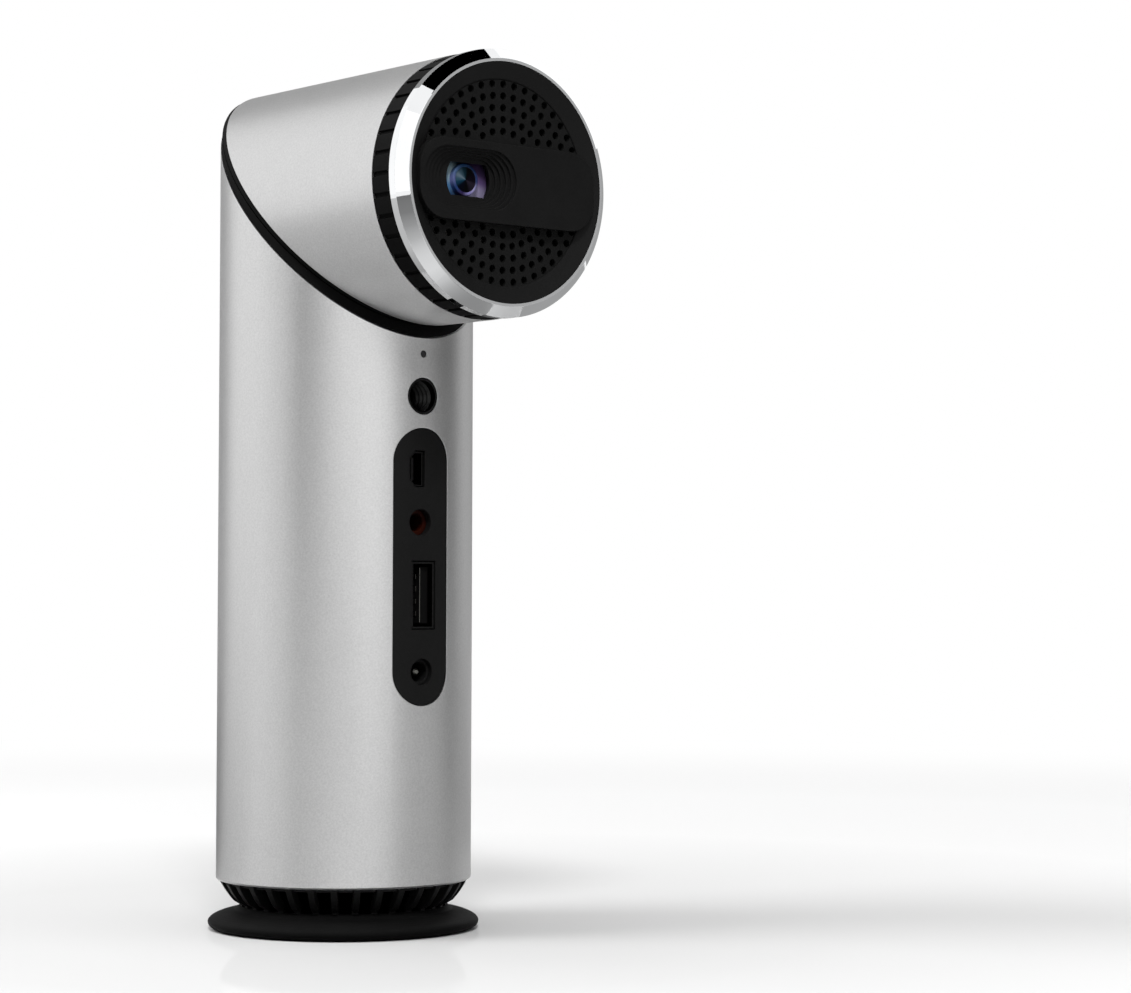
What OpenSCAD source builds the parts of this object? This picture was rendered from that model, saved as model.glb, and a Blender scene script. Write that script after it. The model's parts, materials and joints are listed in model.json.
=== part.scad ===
// Pocket video projector: a tube on a ribbed foot, with a head that swivels on a 45 degree cut.
// Z is up, the head points along -Y at rest, and the foot's centre is the origin. Sizes in mm.

/* [Tubes] */
// Outer diameter of the body and head tubes
tube_d = 52; // [49:0.5:60]
// Wall of both tubes
tube_wall = 1.5; // [1:0.1:2]
// Bevel on the lower edge of the body tube
tube_bevel = 0.4; // [0.2:0.05:0.9]

/* [Base] */
// Height of the foot disc at the ribs
foot_h = 4.75; // [4.4:0.05:6.4]
// How far the foot stands out past the tube
foot_overhang = 1.6; // [0.6:0.1:4]
// Open height of the ribs between foot and tube
vent_h = 5.3; // [3.8:0.1:8]
// How far the ribs draw in at the foot
vent_neck = 4.9; // [3:0.1:6]
// Number of ribs
vent_ribs = 34; // [24:1:40]
// Width of a rib
rib_w = 1.3; // [1:0.05:1.8]
// Thickness of the rubber pad
pad_t = 1.1; // [0.8:0.1:1.6]

/* [Elbow] */
// Height of the elbow's centre above the table
elbow_z = 147.5; // [140:0.5:175]
// Black ring on the body side of the cut
body_ring_t = 1.75; // [1.2:0.05:3]
// Black ring on the head side of the cut
head_ring_t = 1.45; // [1.2:0.05:3]
// How far the black rings sit inside the tube's surface
ring_inset = 0.3; // [0.1:0.05:0.8]
// Running gap between the two rings
joint_gap = 0.3; // [0.2:0.05:0.6]
// Thickness of each joint plate
plate_t = 2.7; // [2.2:0.1:3.5]
// Outer diameter of the hollow pivot
pivot_d = 16; // [14:0.5:17]
// Bore of the hollow pivot
pivot_bore = 11; // [8:0.5:12]

/* [Head] */
// Elbow's centre to the front lip of the bezel
head_len = 52.4; // [50:0.1:64]
// Length of the polished bezel
bezel_len = 3.9; // [3.2:0.1:6]
// Straight length of the bezel behind its cone
bezel_land = 2; // [0.5:0.1:2.4]
// How far the bezel narrows toward the front
bezel_bevel = 1.75; // [1:0.05:2.4]
// Width of the bezel's front lip
bezel_lip = 0.75; // [0.3:0.05:1]
// Length of the focus ring
focus_w = 5.15; // [4.6:0.05:7]
// Number of grip notches in the focus ring
focus_notches = 40; // [24:1:60]
// Width of a grip notch
notch_w = 0.9; // [0.5:0.1:1.4]
// Depth of a grip notch
notch_depth = 0.5; // [0.3:0.1:0.8]

/* [Front face] */
// Thickness of the perforated disc
grille_t = 1.6; // [1.2:0.1:2]
// Diameter of the perforations
hole_d = 1.5; // [0.9:0.05:1.7]
// Spacing of the rows of perforations
row_pitch = 2.3; // [2:0.1:2.6]
// Gap left at each end of the lens bar
bar_margin = 1.8; // [1.5:0.1:4]
// Height of the lens bar
bar_h = 15.5; // [14:0.1:18]
// How far the bar's middle lies below the lens
bar_sink = 0.45; // [0:0.05:0.8]
// Corner radius of the lens bar
bar_r = 6; // [3:0.1:6.4]
// How far the disc lies behind the bezel's lip
disc_drop = 1.6; // [0.6:0.1:1.8]
// How far the bar stands out from the disc
bar_raise = 1.9; // [1.4:0.1:2.4]
// Height of the widest step of the lens recess
recess_h = 11.6; // [10.5:0.1:12.4]
// Width of the window in front of the lens
window_w = 10.6; // [8:0.1:11]
// Height of the window in front of the lens
window_h = 6.4; // [5:0.1:8]
// Depth of the stepped recess
recess_depth = 2.5; // [2:0.1:2.9]

/* [Lens and focus] */
// Diameter of the lens barrel
barrel_d = 15; // [14.2:0.1:15.6]
// Diameter of the front lens
front_lens_d = 13.2; // [11:0.1:13.4]
// Travel of the lens each way
lens_travel = 0.5; // [0.3:0.1:0.7]
// Teeth inside the focus ring
ring_teeth = 43; // [41:2:45]
// Teeth on the focus gear
gear_teeth = 26; // [24:2:28]

/* [Ports] */
// Length of the port panel
panel_l = 55.3; // [52:0.1:66]
// Width of the port panel
panel_w = 13.5; // [11:0.1:16]
// Panel's upper end below the front edge of the tube
panel_drop = 17.8; // [17.6:0.1:20]
// Height of the USB opening
usb_h = 13.7; // [13.4:0.1:14.6]
// Width of the USB opening
usb_w = 6; // [5.4:0.1:6.6]
// Height of the video opening
video_h = 7.3; // [6.8:0.1:8.4]
// Width of the video opening
video_w = 3.8; // [3.2:0.1:4.4]
// Diameter of the audio opening
audio_d = 5.3; // [4.6:0.1:6]
// Diameter of the power opening
power_d = 5.3; // [4.6:0.1:6.4]
// Diameter of the tripod thread
tripod_d = 6.4; // [6.2:0.1:9.6]
// Depth of the tripod thread
tripod_depth = 8.5; // [6:0.5:10]

/* [Buttons] */
// Diameter of a button
button_d = 6.4; // [5:0.1:7.4]
// Spacing of the buttons
button_pitch = 9.4; // [8.8:0.1:10.5]
// How far a button stands out
button_proud = 0.9; // [0.5:0.1:1.6]
// Travel of a button
button_travel = 0.5; // [0.3:0.05:0.7]

/* [Inside] */
// Diameter of a battery cell
cell_d = 18.4; // [17:0.1:18.6]
// Length of a battery cell
cell_l = 65; // [50:1:68]
// Thickness of the circuit boards
board_t = 1.6; // [1:0.1:2]
// Height of the fan
fan_h = 8; // [7:0.5:10]
// Number of fan blades
fan_blades = 7; // [5:1:9]
// Height of the light engine
engine_h = 18; // [16:0.5:19]
// Width of the light engine
engine_w = 34; // [31:0.5:35]

/* [Hidden] */
$fn = 64;

// Fits and clearances
eps = 0.5;
fit = 0.05;
slip = 0.1;
free = 0.3;
slope = sqrt(2);

// Tubes and the 45 degree cut
R = tube_d / 2;
bore_r = tube_d / 2 - tube_wall;
seat_r = bore_r - fit;
tube_z = foot_h + vent_h;
big = 4 * tube_d;
front_edge = elbow_z - R - body_ring_t * slope;
ring_r = R - ring_inset;

// Screws and plates
base_screw_r = 1;
base_head_r = 2;
base_head_h = 1.5;
small_screw_r = 0.75;
small_head_r = 1.5;
small_head_h = 1.2;

// Base stack
foot_rim = 1.4;
foot_mid = 1.5;
foot_crown = 11.1;
foot_fillet = 0.6;
boss_h = 4.5;
rib_depth = 2.4;
foot_r = R + foot_overhang;
neck_r = R - vent_neck;
pad_r = foot_r - 3.6;
pad_gap = 0.25;
cage_ring_h = 3;
cage_r = R - 0.95;
cage_band = 0.6;
rib_turn = 7.1;
floor_t = 0.6;
skirt_h = 0.68 * vent_h;
screw_ring_r = 14;
fan_z = tube_z + cage_ring_h;
fan_top = fan_z + fan_h;
fan_wall = 2.2;
fan_plate = 1.2;
fan_hub_r = 9;
shaft_r = 1;
blade_t = 1;

// Elbow stack, measured along the pivot
spigot = 2.4;
sleeve_flange_t = 1.3;
sleeve_flange_r = pivot_d / 2 + 2.5;
washer_t = 1.2;
clip_t = 1;
clip_z = plate_t + washer_t + slip;
sleeve_end = clip_z + clip_t + 1;
stop_r = pivot_d / 2 + 5.5;
stop_pin_r = 1.2;
stop_slot_w = 3;
stop_play = 6.5;

// Head stack, measured forward from the elbow's centre
bezel_s = head_len - bezel_len;
focus_s = bezel_s - focus_w;
disc_s = head_len - disc_drop;
disc_back = disc_s - grille_t;
bezel_r = R;
bezel_edge = 0.25;
focus_r = R - 0.1;
disc_r = R - 0.2 - bezel_bevel - bezel_lip;
bezel_in_r = disc_r - 0.9;
focus_run_r = disc_r + 0.1;
frame_t = 3;
frame_s = focus_s - frame_t;
bar_s = disc_s + bar_raise;
horn_s = bar_s - recess_depth;
horn_back = horn_s - 0.4;
tower_top = disc_back - slip;
bar_l = 2 * (disc_r - bar_margin);
row_margin = 4.1;
row_r = disc_r - row_margin;
row_counts = [44, 42, 34, 32, 24];

// Focus gears
ring_pitch_r = R - 4.5;
gear_m = 2 * ring_pitch_r / ring_teeth;
gear_pitch_r = gear_m * gear_teeth / 2;
lens_x = gear_pitch_r - ring_pitch_r;
pressure = 20;
backlash = 0.12;
gear_w = 2.6;
gear_s = focus_s + slip;
gear_hub_r = barrel_d / 2 + 2;
tooth_tip_r = ring_pitch_r - gear_m;
post_r = 1.6;
post_depth = 5.5;
post_ring_r = tooth_tip_r - 2.2;
post_angles = [55, 100, 260, 305];
barrel_front = horn_back - lens_travel - 2 * free;
lens_dome = 24;
front_lens_t = 2.9;
lens_rise = lens_dome - sqrt(lens_dome * lens_dome - window_h * window_h / 4);
lens_seat = horn_back - lens_travel - free + lens_rise - front_lens_t;

// Light engine
engine_x0 = lens_x - 11.5;
dmd_t = 2;
engine_board_t = 1.2;
engine_back = engine_h / 2 + (plate_t + sleeve_flange_t + 0.6) * slope + dmd_t + engine_board_t;
engine_wall = 1.8;
lid_t = 1.2;
lid_y = engine_h / 2;
barrel_back = frame_s - engine_wall - 2.2;
led_t = 2.5;
led_s = (engine_back + frame_s) / 2;
key_s = frame_s - engine_wall / 2;
key_r = 0.8;
key_depth = 1.2;
key_play = lens_travel + key_r + 2 * free;
dmd_w = 12;
led_w = 10;
fin_t = 0.9;
fin_half = 12;
speaker_w = 11;
speaker_h = 17;
speaker_t = 3.6;
rear_lens_t = 2.6;
collimator_t = 2.6;
collimator_rs = [4, 5];
collimator_xs = [for (d = [3.4, 7.4]) engine_x0 + engine_w - engine_wall - d];
prism_w = 9;

// Body layout
panel_z = front_edge - panel_drop - panel_l / 2;
panel_recess = 0.15;
panel_back = 1;
video_z = panel_z + panel_l / 2 - 8.2;
audio_z = panel_z + 8.8;
usb_z = panel_z - 5.65;
power_z = panel_z - panel_l / 2 + 6.75;
tripod_z = front_edge - 11.5;
neck_wall = 0.4;
front_pin_z = front_edge - 3.1;
pipe_r = 0.7;
board_y = 12;
socket_front = R - 0.6;
shell_t = 0.4;
shell_back = 1;
tongue_t = 2;
tongue_gap = 1.2;
tongue_side = 0.45;
tongue_drop = 1;
usb_x = 0.5;
audio_x = -0.45;
video_x = -1.35;
video_block = 4;
plug_r = 1.8;
power_pin_r = 0.75;
jack_drop = 0.6;
chip_w = 9.5;
chip_t = 1.4;
coil_w = 6;
board_z0 = power_z - 9;
board_z1 = front_edge - 1;
board_hw = sqrt(pow(bore_r - 0.8, 2) - board_y * board_y);
button_top_z = front_edge - 10.1;
button_zs = [for (i = [0:6]) button_top_z - i * button_pitch];
rear_pin_z = button_top_z + 18.9;

// Buttons, measured outward from the tube's axis
cap_r = button_d / 2;
button_rim = 0.6;
flange_r = cap_r + button_rim;
flange_top = sqrt(bore_r * bore_r - flange_r * flange_r) - free;
flange_bot = flange_top - 1.1;
stem_r = 1.4;
stem_bot = flange_bot - 2;
plunger_top = stem_bot - button_travel - slip;
switch_top = plunger_top - 0.5;
switch_h = 1.8;
switch_w = 4.5;
button_board_w = 12;
button_board_y = switch_top - switch_h;
button_board_z0 = button_zs[6] - button_board_w / 2;
button_board_z1 = rear_pin_z + button_board_w / 3;

// Chassis and cells
cell_x = cell_d / 2 + 0.35;
cell_y = 1.6;
wall_x = cell_x + cell_d / 2 + 0.45;
wall_t = 1.6;
chassis_z = fan_top + slip;
chassis_top = front_edge - 7;
tray_t = 2;
tray_z = chassis_z + 4;
cell_z = tray_z + tray_t;
tray_top = cell_z + cell_l;
tray_back = cell_y + cell_d / 2 + 0.2;
tray_web = 1.2;
beam_t = 2;
beam_h = 4;

// Cable through the pivot
cable_r = 2.2;
sleeve_t = 0.4;
cable_run = 15;
cable_bend = 8;
head_run = 6;
head_bend = 6;
header_w = 8;
header_h = 4.4;

// Local axes: the pivot, the head, the front of the body and the back of the body
module at_elbow() { translate([0, 0, elbow_z]) rotate([45, 0, 0]) children(); }
module at_head() { translate([0, 0, elbow_z]) rotate([90, 0, 0]) children(); }
module at_lens(s) { at_head() translate([lens_x, 0, s]) children(); }
module at_front(z, x = 0) { translate([x, 0, z]) rotate([90, 0, 0]) children(); }
module at_back(z) { translate([0, 0, z]) rotate([-90, 0, 0]) children(); }

module slab(from, to) {
  at_elbow() translate([-big / 2, -big / 2, from]) cube([big, big, to - from]);
}

module ring(r_out, r_in, h) {
  difference() {
    cylinder(r = r_out, h = h);
    translate([0, 0, -eps]) cylinder(r = r_in, h = h + 2 * eps);
  }
}

module block(x0, x1, y0, y1, z0, z1) {
  translate([x0, y0, z0]) cube([x1 - x0, y1 - y0, z1 - z0]);
}

module stadium(w, h) {
  r = min(w, h) / 2;
  dx = max(w / 2 - r, 0);
  dy = max(h / 2 - r, 0);
  union() {
    translate([dx, dy]) circle(r = r);
    translate([-dx, -dy]) circle(r = r);
    square(w > h ? [2 * dx, h] : [w, 2 * dy], center = true);
  }
}

module rounded(w, h, r) {
  union() {
    square([w - 2 * r, h], center = true);
    square([w, h - 2 * r], center = true);
    for (sx = [-1, 1], sy = [-1, 1]) translate([sx * (w / 2 - r), sy * (h / 2 - r)]) circle(r = r);
  }
}

// D-shaped outline: the corners on the left are cut
module d_shape(w, h) {
  c = w * 0.38;
  polygon([
    [-w / 2, -h / 2 + c], [-w / 2 + c, -h / 2], [w / 2, -h / 2],
    [w / 2, h / 2], [-w / 2 + c, h / 2], [-w / 2, h / 2 - c]
  ]);
}

// Involute teeth
function inv(a) = tan(a) * 180 / PI - a;
function flank(teeth, rho, grow) =
  let (rp = gear_m * teeth / 2, rb = rp * cos(pressure), r = max(rho, rb))
  90 / teeth + grow / rp * 90 / PI + inv(pressure) - inv(acos(rb / r));
function tooth(teeth, radii, grow, a) = [
  for (r = radii) [r * cos(a - flank(teeth, r, grow)), r * sin(a - flank(teeth, r, grow))],
  for (i = [len(radii) - 1:-1:0])
    [radii[i] * cos(a + flank(teeth, radii[i], grow)), radii[i] * sin(a + flank(teeth, radii[i], grow))]
];
function gear_outline(teeth, radii, grow) = [
  for (k = [0:teeth - 1]) each tooth(teeth, radii, grow, 180 + 360 * k / teeth)
];

// Base

// Half outline of the foot: a rounded rim, a low crown and a fillet up to the ribs
foot_top = foot_h - 0.75 * foot_fillet;
crown_end = acos((neck_r + 2 * foot_fillet - foot_r + foot_crown) / foot_crown);
foot_outline = concat(
  [[0, pad_gap]],
  [for (a = [-90:15:-15]) [foot_r - foot_rim * (1 - cos(a)), foot_mid + (foot_mid - pad_gap) * sin(a)]],
  [
    for (i = [0:8]) let (a = crown_end * i / 8)
      [foot_r - foot_crown * (1 - cos(a)), foot_mid + (foot_top - foot_mid) * sin(a)]
  ],
  [[neck_r + foot_fillet, foot_top], [neck_r, foot_h], [0, foot_h]]
);

module base_foot() {
  color("#1c1c1c") difference() {
    rotate_extrude() polygon(foot_outline);
    translate([0, 0, pad_gap - eps]) cylinder(r = pad_r + slip, h = pad_t - pad_gap + eps);
    screw_places() translate([0, 0, pad_t - eps]) {
      cylinder(r = base_head_r + 2 * slip, h = base_head_h + slip + eps);
      cylinder(r = base_screw_r + 2 * slip, h = foot_h + eps);
    }
  }
}

module foot_pad() {
  color("#2b2b2b") cylinder(r = pad_r, h = pad_t);
}

module screw_places() {
  for (a = [45:90:315]) rotate([0, 0, a]) translate([screw_ring_r, 0, 0]) children();
}

// Outline of the ribs as a bowl from the tube down to the foot
function bowl(r0) = [
  for (i = [0:5])
    [neck_r - r0 + (cage_r - neck_r) * pow(i / 5, 0.62), foot_h + free + (vent_h - free - cage_band) * i / 5]
];

module vent_cage() {
  color("#1f1f1f") difference() {
    union() {
      intersection() {
        rotate_extrude() polygon(concat(
          bowl(0), [[cage_r, tube_z], [cage_r - rib_depth, tube_z]],
          [for (i = [5:-1:0]) bowl(rib_depth)[i]], [[neck_r - rib_depth, foot_h], [neck_r, foot_h]]
        ));
        for (k = [0:vent_ribs - 1]) rotate([0, 0, rib_turn + 360 * k / vent_ribs])
          block(0, R, -rib_w / 2, rib_w / 2, foot_h, tube_z);
      }
      translate([0, 0, tube_z - cage_band]) ring(seat_r, seat_r - 3, cage_ring_h + cage_band);
      translate([0, 0, foot_h]) cylinder(r = neck_r - rib_depth + 1, h = floor_t);
      translate([0, 0, foot_h]) ring(neck_r - rib_depth + 1, neck_r - rib_depth, skirt_h);
      screw_places() translate([0, 0, foot_h]) cylinder(r = base_head_r + 4 * slip, h = boss_h);
    }
    screw_places() translate([0, 0, foot_h - eps]) cylinder(r = base_screw_r + fit, h = boss_h - eps / 2 + eps);
  }
}

module base_screws() {
  color("#b8bcc0") screw_places() translate([0, 0, pad_t]) {
    cylinder(r = base_head_r, h = base_head_h);
    cylinder(r = base_screw_r, h = foot_h + boss_h - 2 * eps - pad_t);
  }
}

// Fan

module fan_frame() {
  r = seat_r - free;
  color("#202020") translate([0, 0, fan_z]) difference() {
    union() {
      ring(r, r - fan_wall, fan_h);
      for (a = [0:120:240]) rotate([0, 0, a]) block(0, r - fan_wall / 2, -fan_plate, fan_plate, 0, fan_plate);
      cylinder(r = fan_hub_r - fan_plate, h = fan_plate);
      cylinder(r = 3 * shaft_r, h = 3 * fan_plate);
    }
    translate([0, 0, -eps]) cylinder(r = shaft_r + fit, h = fan_h);
  }
}

module fan_rotor() {
  tip_r = seat_r - 3 * free - fan_wall;
  z0 = 1.5 * fan_plate;
  h = fan_h - 2 * fan_plate;
  color("#2a2a2a") translate([0, 0, fan_z]) {
    cylinder(r = shaft_r, h = fan_h - fan_plate);
    translate([0, 0, z0]) difference() {
      cylinder(r = fan_hub_r, h = h);
      translate([0, 0, -eps]) cylinder(r = fan_hub_r - fan_plate, h = h - fan_plate + eps);
    }
    intersection() {
      translate([0, 0, z0]) ring(tip_r, fan_hub_r - fan_plate / 2, h);
      for (k = [0:fan_blades - 1]) rotate([0, 0, 360 * k / fan_blades]) translate([0, 0, z0 + h / 2])
        rotate([52, 0, 0]) block(fan_hub_r - fan_plate, R, -blade_t / 2, blade_t / 2, -fan_h, fan_h);
    }
  }
}

// Chassis, cells and boards

module chassis() {
  color("#303030") intersection() {
    translate([0, 0, chassis_z]) cylinder(r = seat_r - free, h = chassis_top - chassis_z);
    difference() {
      union() {
        translate([0, 0, chassis_z]) ring(seat_r, seat_r - 6, 2);
        for (s = [-1, 1]) {
          block(s * wall_x - (s < 0 ? wall_t : 0), s * wall_x + (s > 0 ? wall_t : 0),
            -board_y + board_t, tray_back + tray_web, chassis_z, chassis_top);
        }
        for (z = beam_zs) block(-wall_x - eps, wall_x + eps, -board_y + board_t, -board_y + board_t + beam_t, z, z + beam_h);
      }
      board_screw_places() cylinder(r = small_screw_r + slip, h = 3 * (board_t + beam_t), center = true);
    }
  }
}
beam_zs = [board_z0 + 1, chassis_top - beam_h];

module board_screw_places() {
  for (sx = [-1, 1], z = beam_zs)
    translate([sx * (board_hw - small_head_r - 1), -board_y + board_t, z + beam_h / 2]) rotate([90, 0, 0]) children();
}

module battery_cells() {
  color("#3a6ea5") for (sx = [-1, 1]) translate([sx * cell_x, cell_y, cell_z]) {
    cylinder(r = cell_d / 2, h = cell_l - 1);
    cylinder(r = cell_d / 4, h = cell_l);
  }
}

module battery_tray() {
  color("#262626") {
    block(-wall_x + slip, wall_x - slip, cell_y - cell_d / 2, tray_back + tray_web, tray_z, cell_z);
    block(-wall_x + slip, wall_x - slip, cell_y - cell_d / 2, tray_back + tray_web, tray_top, tray_top + tray_t);
    block(-wall_x + slip, wall_x - slip, tray_back, tray_back + tray_web, tray_z, tray_top + tray_t);
    for (z = [button_board_z0 + 4, tray_top - 2]) translate([0, tray_back, z]) rotate([-90, 0, 0])
      cylinder(r = 2.2, h = button_board_y - board_t - tray_back);
  }
}

module main_board() {
  color("#1d5c38") difference() {
    block(-board_hw, board_hw, -board_y, -board_y + board_t, board_z0, board_z1);
    board_screw_places() cylinder(r = small_screw_r + free, h = 4 * board_t, center = true);
  }
}

module board_chips() {
  x = board_hw - chip_t;
  color("#18181a") {
    block(x - chip_w, x, -board_y - chip_t, -board_y, panel_z, panel_z + chip_w);
    block(x - chip_w, x, -board_y - chip_t, -board_y, panel_z - 1.7 * chip_w, panel_z - 0.7 * chip_w);
    block(-x, -x + coil_w, -board_y - coil_w / 2, -board_y, panel_z - 2 * coil_w, panel_z - coil_w);
  }
}

module board_screws() {
  color("#b8bcc0") board_screw_places() {
    translate([0, 0, board_t]) cylinder(r = small_head_r, h = small_head_h);
    translate([0, 0, -beam_t]) cylinder(r = small_screw_r, h = board_t + beam_t + small_head_h / 2);
  }
}

// Body tube and what shows on it

module lower_tube() {
  color("#c9cbcd") difference() {
    rotate_extrude() polygon([
      [bore_r, tube_z], [R - tube_bevel, tube_z], [R, tube_z + tube_bevel],
      [R, elbow_z + 2 * R], [bore_r, elbow_z + 2 * R]
    ]);
    slab(-body_ring_t, big);
    at_front(panel_z) translate([0, 0, bore_r / 2]) linear_extrude(height = R) stadium(panel_w, panel_l);
    at_front(tripod_z) cylinder(r = tripod_d / 2 + neck_wall + slip, h = 2 * R);
    at_front(front_pin_z) cylinder(r = pipe_r + fit, h = 2 * R);
    at_back(rear_pin_z) cylinder(r = pipe_r + fit, h = 2 * R);
    for (z = button_zs) at_back(z) cylinder(r = cap_r + slip, h = 2 * R);
  }
}

module port_panel() {
  color("#161616") difference() {
    union() {
      intersection() {
        at_front(panel_z) linear_extrude(height = 2 * R) stadium(panel_w - 2 * slip, panel_l - 2 * slip);
        translate([0, 0, panel_z - panel_l]) ring(R - panel_recess, seat_r - panel_back, 2 * panel_l);
      }
      intersection() {
        at_front(panel_z) linear_extrude(height = 2 * R) stadium(panel_w + 2, panel_l + 2);
        translate([0, 0, panel_z - panel_l]) ring(seat_r, seat_r - panel_back, 2 * panel_l);
      }
    }
    at_front(video_z, video_x) linear_extrude(height = 2 * R) d_shape(video_w, video_h);
    at_front(audio_z, audio_x) cylinder(r = audio_d / 2, h = 2 * R);
    at_front(usb_z, usb_x) block(-usb_w / 2, usb_w / 2, -usb_h / 2, usb_h / 2, R / 2, 2 * R);
    at_front(power_z) cylinder(r = power_d / 2, h = 2 * R);
  }
}

module video_socket() {
  w = video_w - 4 * slip;
  h = video_h - 4 * slip;
  color("#2c2d2f") at_front(video_z, video_x) translate([0, 0, board_y]) {
    difference() {
      linear_extrude(height = socket_front - board_y) d_shape(w, h);
      translate([0, 0, video_block]) linear_extrude(height = R) d_shape(w - 2 * free, h - 2 * free);
    }
    block(-free, free, -h / 3, h / 3, video_block - eps, socket_front - board_y - tongue_gap);
  }
}

module jack_body(d, drop) {
  w = d / 2 + 2 * free;
  union() {
    translate([0, 0, board_y]) cylinder(r = d / 2 - fit, h = socket_front - drop - board_y);
    block(-w, w, -w, w, board_y, seat_r - panel_back - 2 * free);
  }
}

module audio_jack() {
  color("#4a2420") at_front(audio_z, audio_x) difference() {
    jack_body(audio_d, 2 * jack_drop);
    translate([0, 0, board_y + shell_back]) cylinder(r = plug_r, h = R);
  }
}

module usb_shell() {
  w = usb_w / 2 - 2 * slip;
  h = usb_h / 2 - 2 * slip;
  color("#3b3c3e") at_front(usb_z, usb_x) difference() {
    block(-w, w, -h, h, board_y, socket_front);
    block(-w + shell_t, w - shell_t, -h + shell_t, h - shell_t, board_y + shell_back, 2 * R);
  }
}

module usb_tongue() {
  x1 = usb_w / 2 - 2 * slip - shell_t - tongue_side;
  hh = usb_h / 2 - tongue_gap;
  color("#2a2a2b") at_front(usb_z, usb_x)
    block(x1 - tongue_t, x1, -hh, hh, board_y + shell_back, socket_front - tongue_drop);
}

module dc_jack() {
  color("#141414") at_front(power_z) difference() {
    jack_body(power_d, jack_drop);
    translate([0, 0, board_y + shell_back]) cylinder(r = power_d / 2 - 2 * free, h = R);
  }
}

module dc_pin() {
  z0 = board_y + shell_back;
  z1 = socket_front - 2 * jack_drop;
  tip = power_pin_r / 2;
  color("#c9ccd0") at_front(power_z) rotate_extrude() polygon([
    [0, z0], [power_pin_r, z0], [power_pin_r, z1 - tip], [tip, z1], [0, z1]
  ]);
}

module tripod_insert() {
  neck = R - free;
  color("#3b3c3e") at_front(tripod_z) difference() {
    union() {
      translate([0, 0, neck - tripod_depth]) cylinder(r = tripod_d / 2 + neck_wall, h = tripod_depth);
      intersection() {
        translate([0, 0, neck - tripod_depth]) cylinder(r = tripod_d / 2 + 4 * neck_wall, h = tripod_depth);
        rotate([90, 0, 0]) cylinder(r = seat_r, h = big, center = true);
      }
    }
    cylinder(r = tripod_d / 2, h = 2 * R);
  }
}

module light_pipes() {
  color("#303234") {
    at_front(front_pin_z) translate([0, 0, board_y]) cylinder(r = pipe_r, h = R - 0.2 - board_y);
    at_back(rear_pin_z) translate([0, 0, button_board_y]) cylinder(r = pipe_r, h = R - 0.2 - button_board_y);
  }
}

// Buttons

module button_board() {
  color("#1d5c38") {
    block(-button_board_w / 2, button_board_w / 2, button_board_y - board_t, button_board_y, button_board_z0, button_board_z1);
    block(-header_w / 2, header_w / 2, cable_y - header_h / 2, button_board_y - board_t / 2,
      cable_end - 4, cable_end);
  }
}

module tact_switches() {
  color("#2d2d2f") for (z = button_zs) at_back(z) {
    block(-switch_w / 2, switch_w / 2, -switch_w / 2, switch_w / 2, button_board_y, switch_top);
    translate([0, 0, switch_top - slip]) cylinder(r = switch_w / 4, h = plunger_top - switch_top + slip);
  }
}

module button(i) {
  top = R + button_proud;
  color("#d3d5d7") at_back(button_zs[i]) rotate_extrude() polygon([
    [0, top], [cap_r - button_rim, top], [cap_r, top - button_rim], [cap_r, flange_top], [flange_r, flange_top],
    [flange_r, flange_bot], [stem_r, flange_bot], [stem_r, stem_bot], [0, stem_bot]
  ]);
}

module menu_button() { button(0); }
module ok_button() { button(1); }
module up_button() { button(2); }
module down_button() { button(3); }
module left_button() { button(4); }
module right_button() { button(5); }
module power_button() { button(6); }

// Elbow joint

module joint_windows() {
  for (s = [-1, 1]) {
    translate([0, s * (stop_r + 10), -big]) cylinder(r = 6.5, h = 2 * big);
    translate([s * (stop_r + 5.5), 0, -big]) cylinder(r = 2.8, h = 2 * big);
  }
}

module body_joint_ring() {
  color("#1a1a1a") difference() {
    union() {
      intersection() {
        cylinder(r = ring_r, h = elbow_z + 2 * R);
        slab(-body_ring_t, -joint_gap / 2);
      }
      intersection() {
        cylinder(r = seat_r, h = elbow_z + 2 * R);
        slab(-body_ring_t - spigot, -body_ring_t / 2);
      }
    }
    intersection() {
      cylinder(r = seat_r - 3, h = elbow_z + 2 * R);
      slab(-big, -plate_t);
    }
    at_elbow() {
      translate([0, 0, -big]) cylinder(r = pivot_d / 2 + fit, h = 2 * big);
      joint_windows();
      translate([0, 0, -plate_t - eps]) rotate([0, 0, -stop_play]) rotate_extrude(angle = 180 + 2 * stop_play)
        translate([stop_r - stop_slot_w / 2, 0]) square([stop_slot_w, plate_t + 2 * eps]);
    }
  }
}

module friction_washer() {
  color("#e4e2da") at_elbow() translate([0, 0, -plate_t - washer_t]) ring(sleeve_flange_r, pivot_d / 2 + slip, washer_t);
}

cable_y = (cable_run + cable_bend * (slope - 1)) / slope;
cable_bend_z = elbow_z - cable_run / slope - cable_bend / slope;
cable_end = min(cable_bend_z - 2, button_board_z1 - 2);

// A shrink sleeve covers each end of the bend
module lower_cable() {
  color("#202124") {
    at_elbow() {
      translate([0, 0, -cable_run + free]) cylinder(r = cable_r, h = cable_run - free - slip / 2);
      translate([0, 0, -cable_run - 1]) cylinder(r = cable_r + sleeve_t, h = 3);
    }
    translate([0, (cable_run - cable_bend) / slope, cable_bend_z]) rotate([90, 0, 90])
      rotate_extrude(angle = 45) translate([cable_bend, 0]) circle(r = cable_r);
    translate([0, cable_y, cable_end]) cylinder(r = cable_r + sleeve_t, h = cable_bend_z - cable_end + 1);
  }
}

// Head

module head_tube() {
  color("#c9cbcd") difference() {
    at_head() translate([0, 0, -2 * R]) ring(R, bore_r, focus_s + 2 * R);
    slab(-big, head_ring_t);
  }
}

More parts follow.
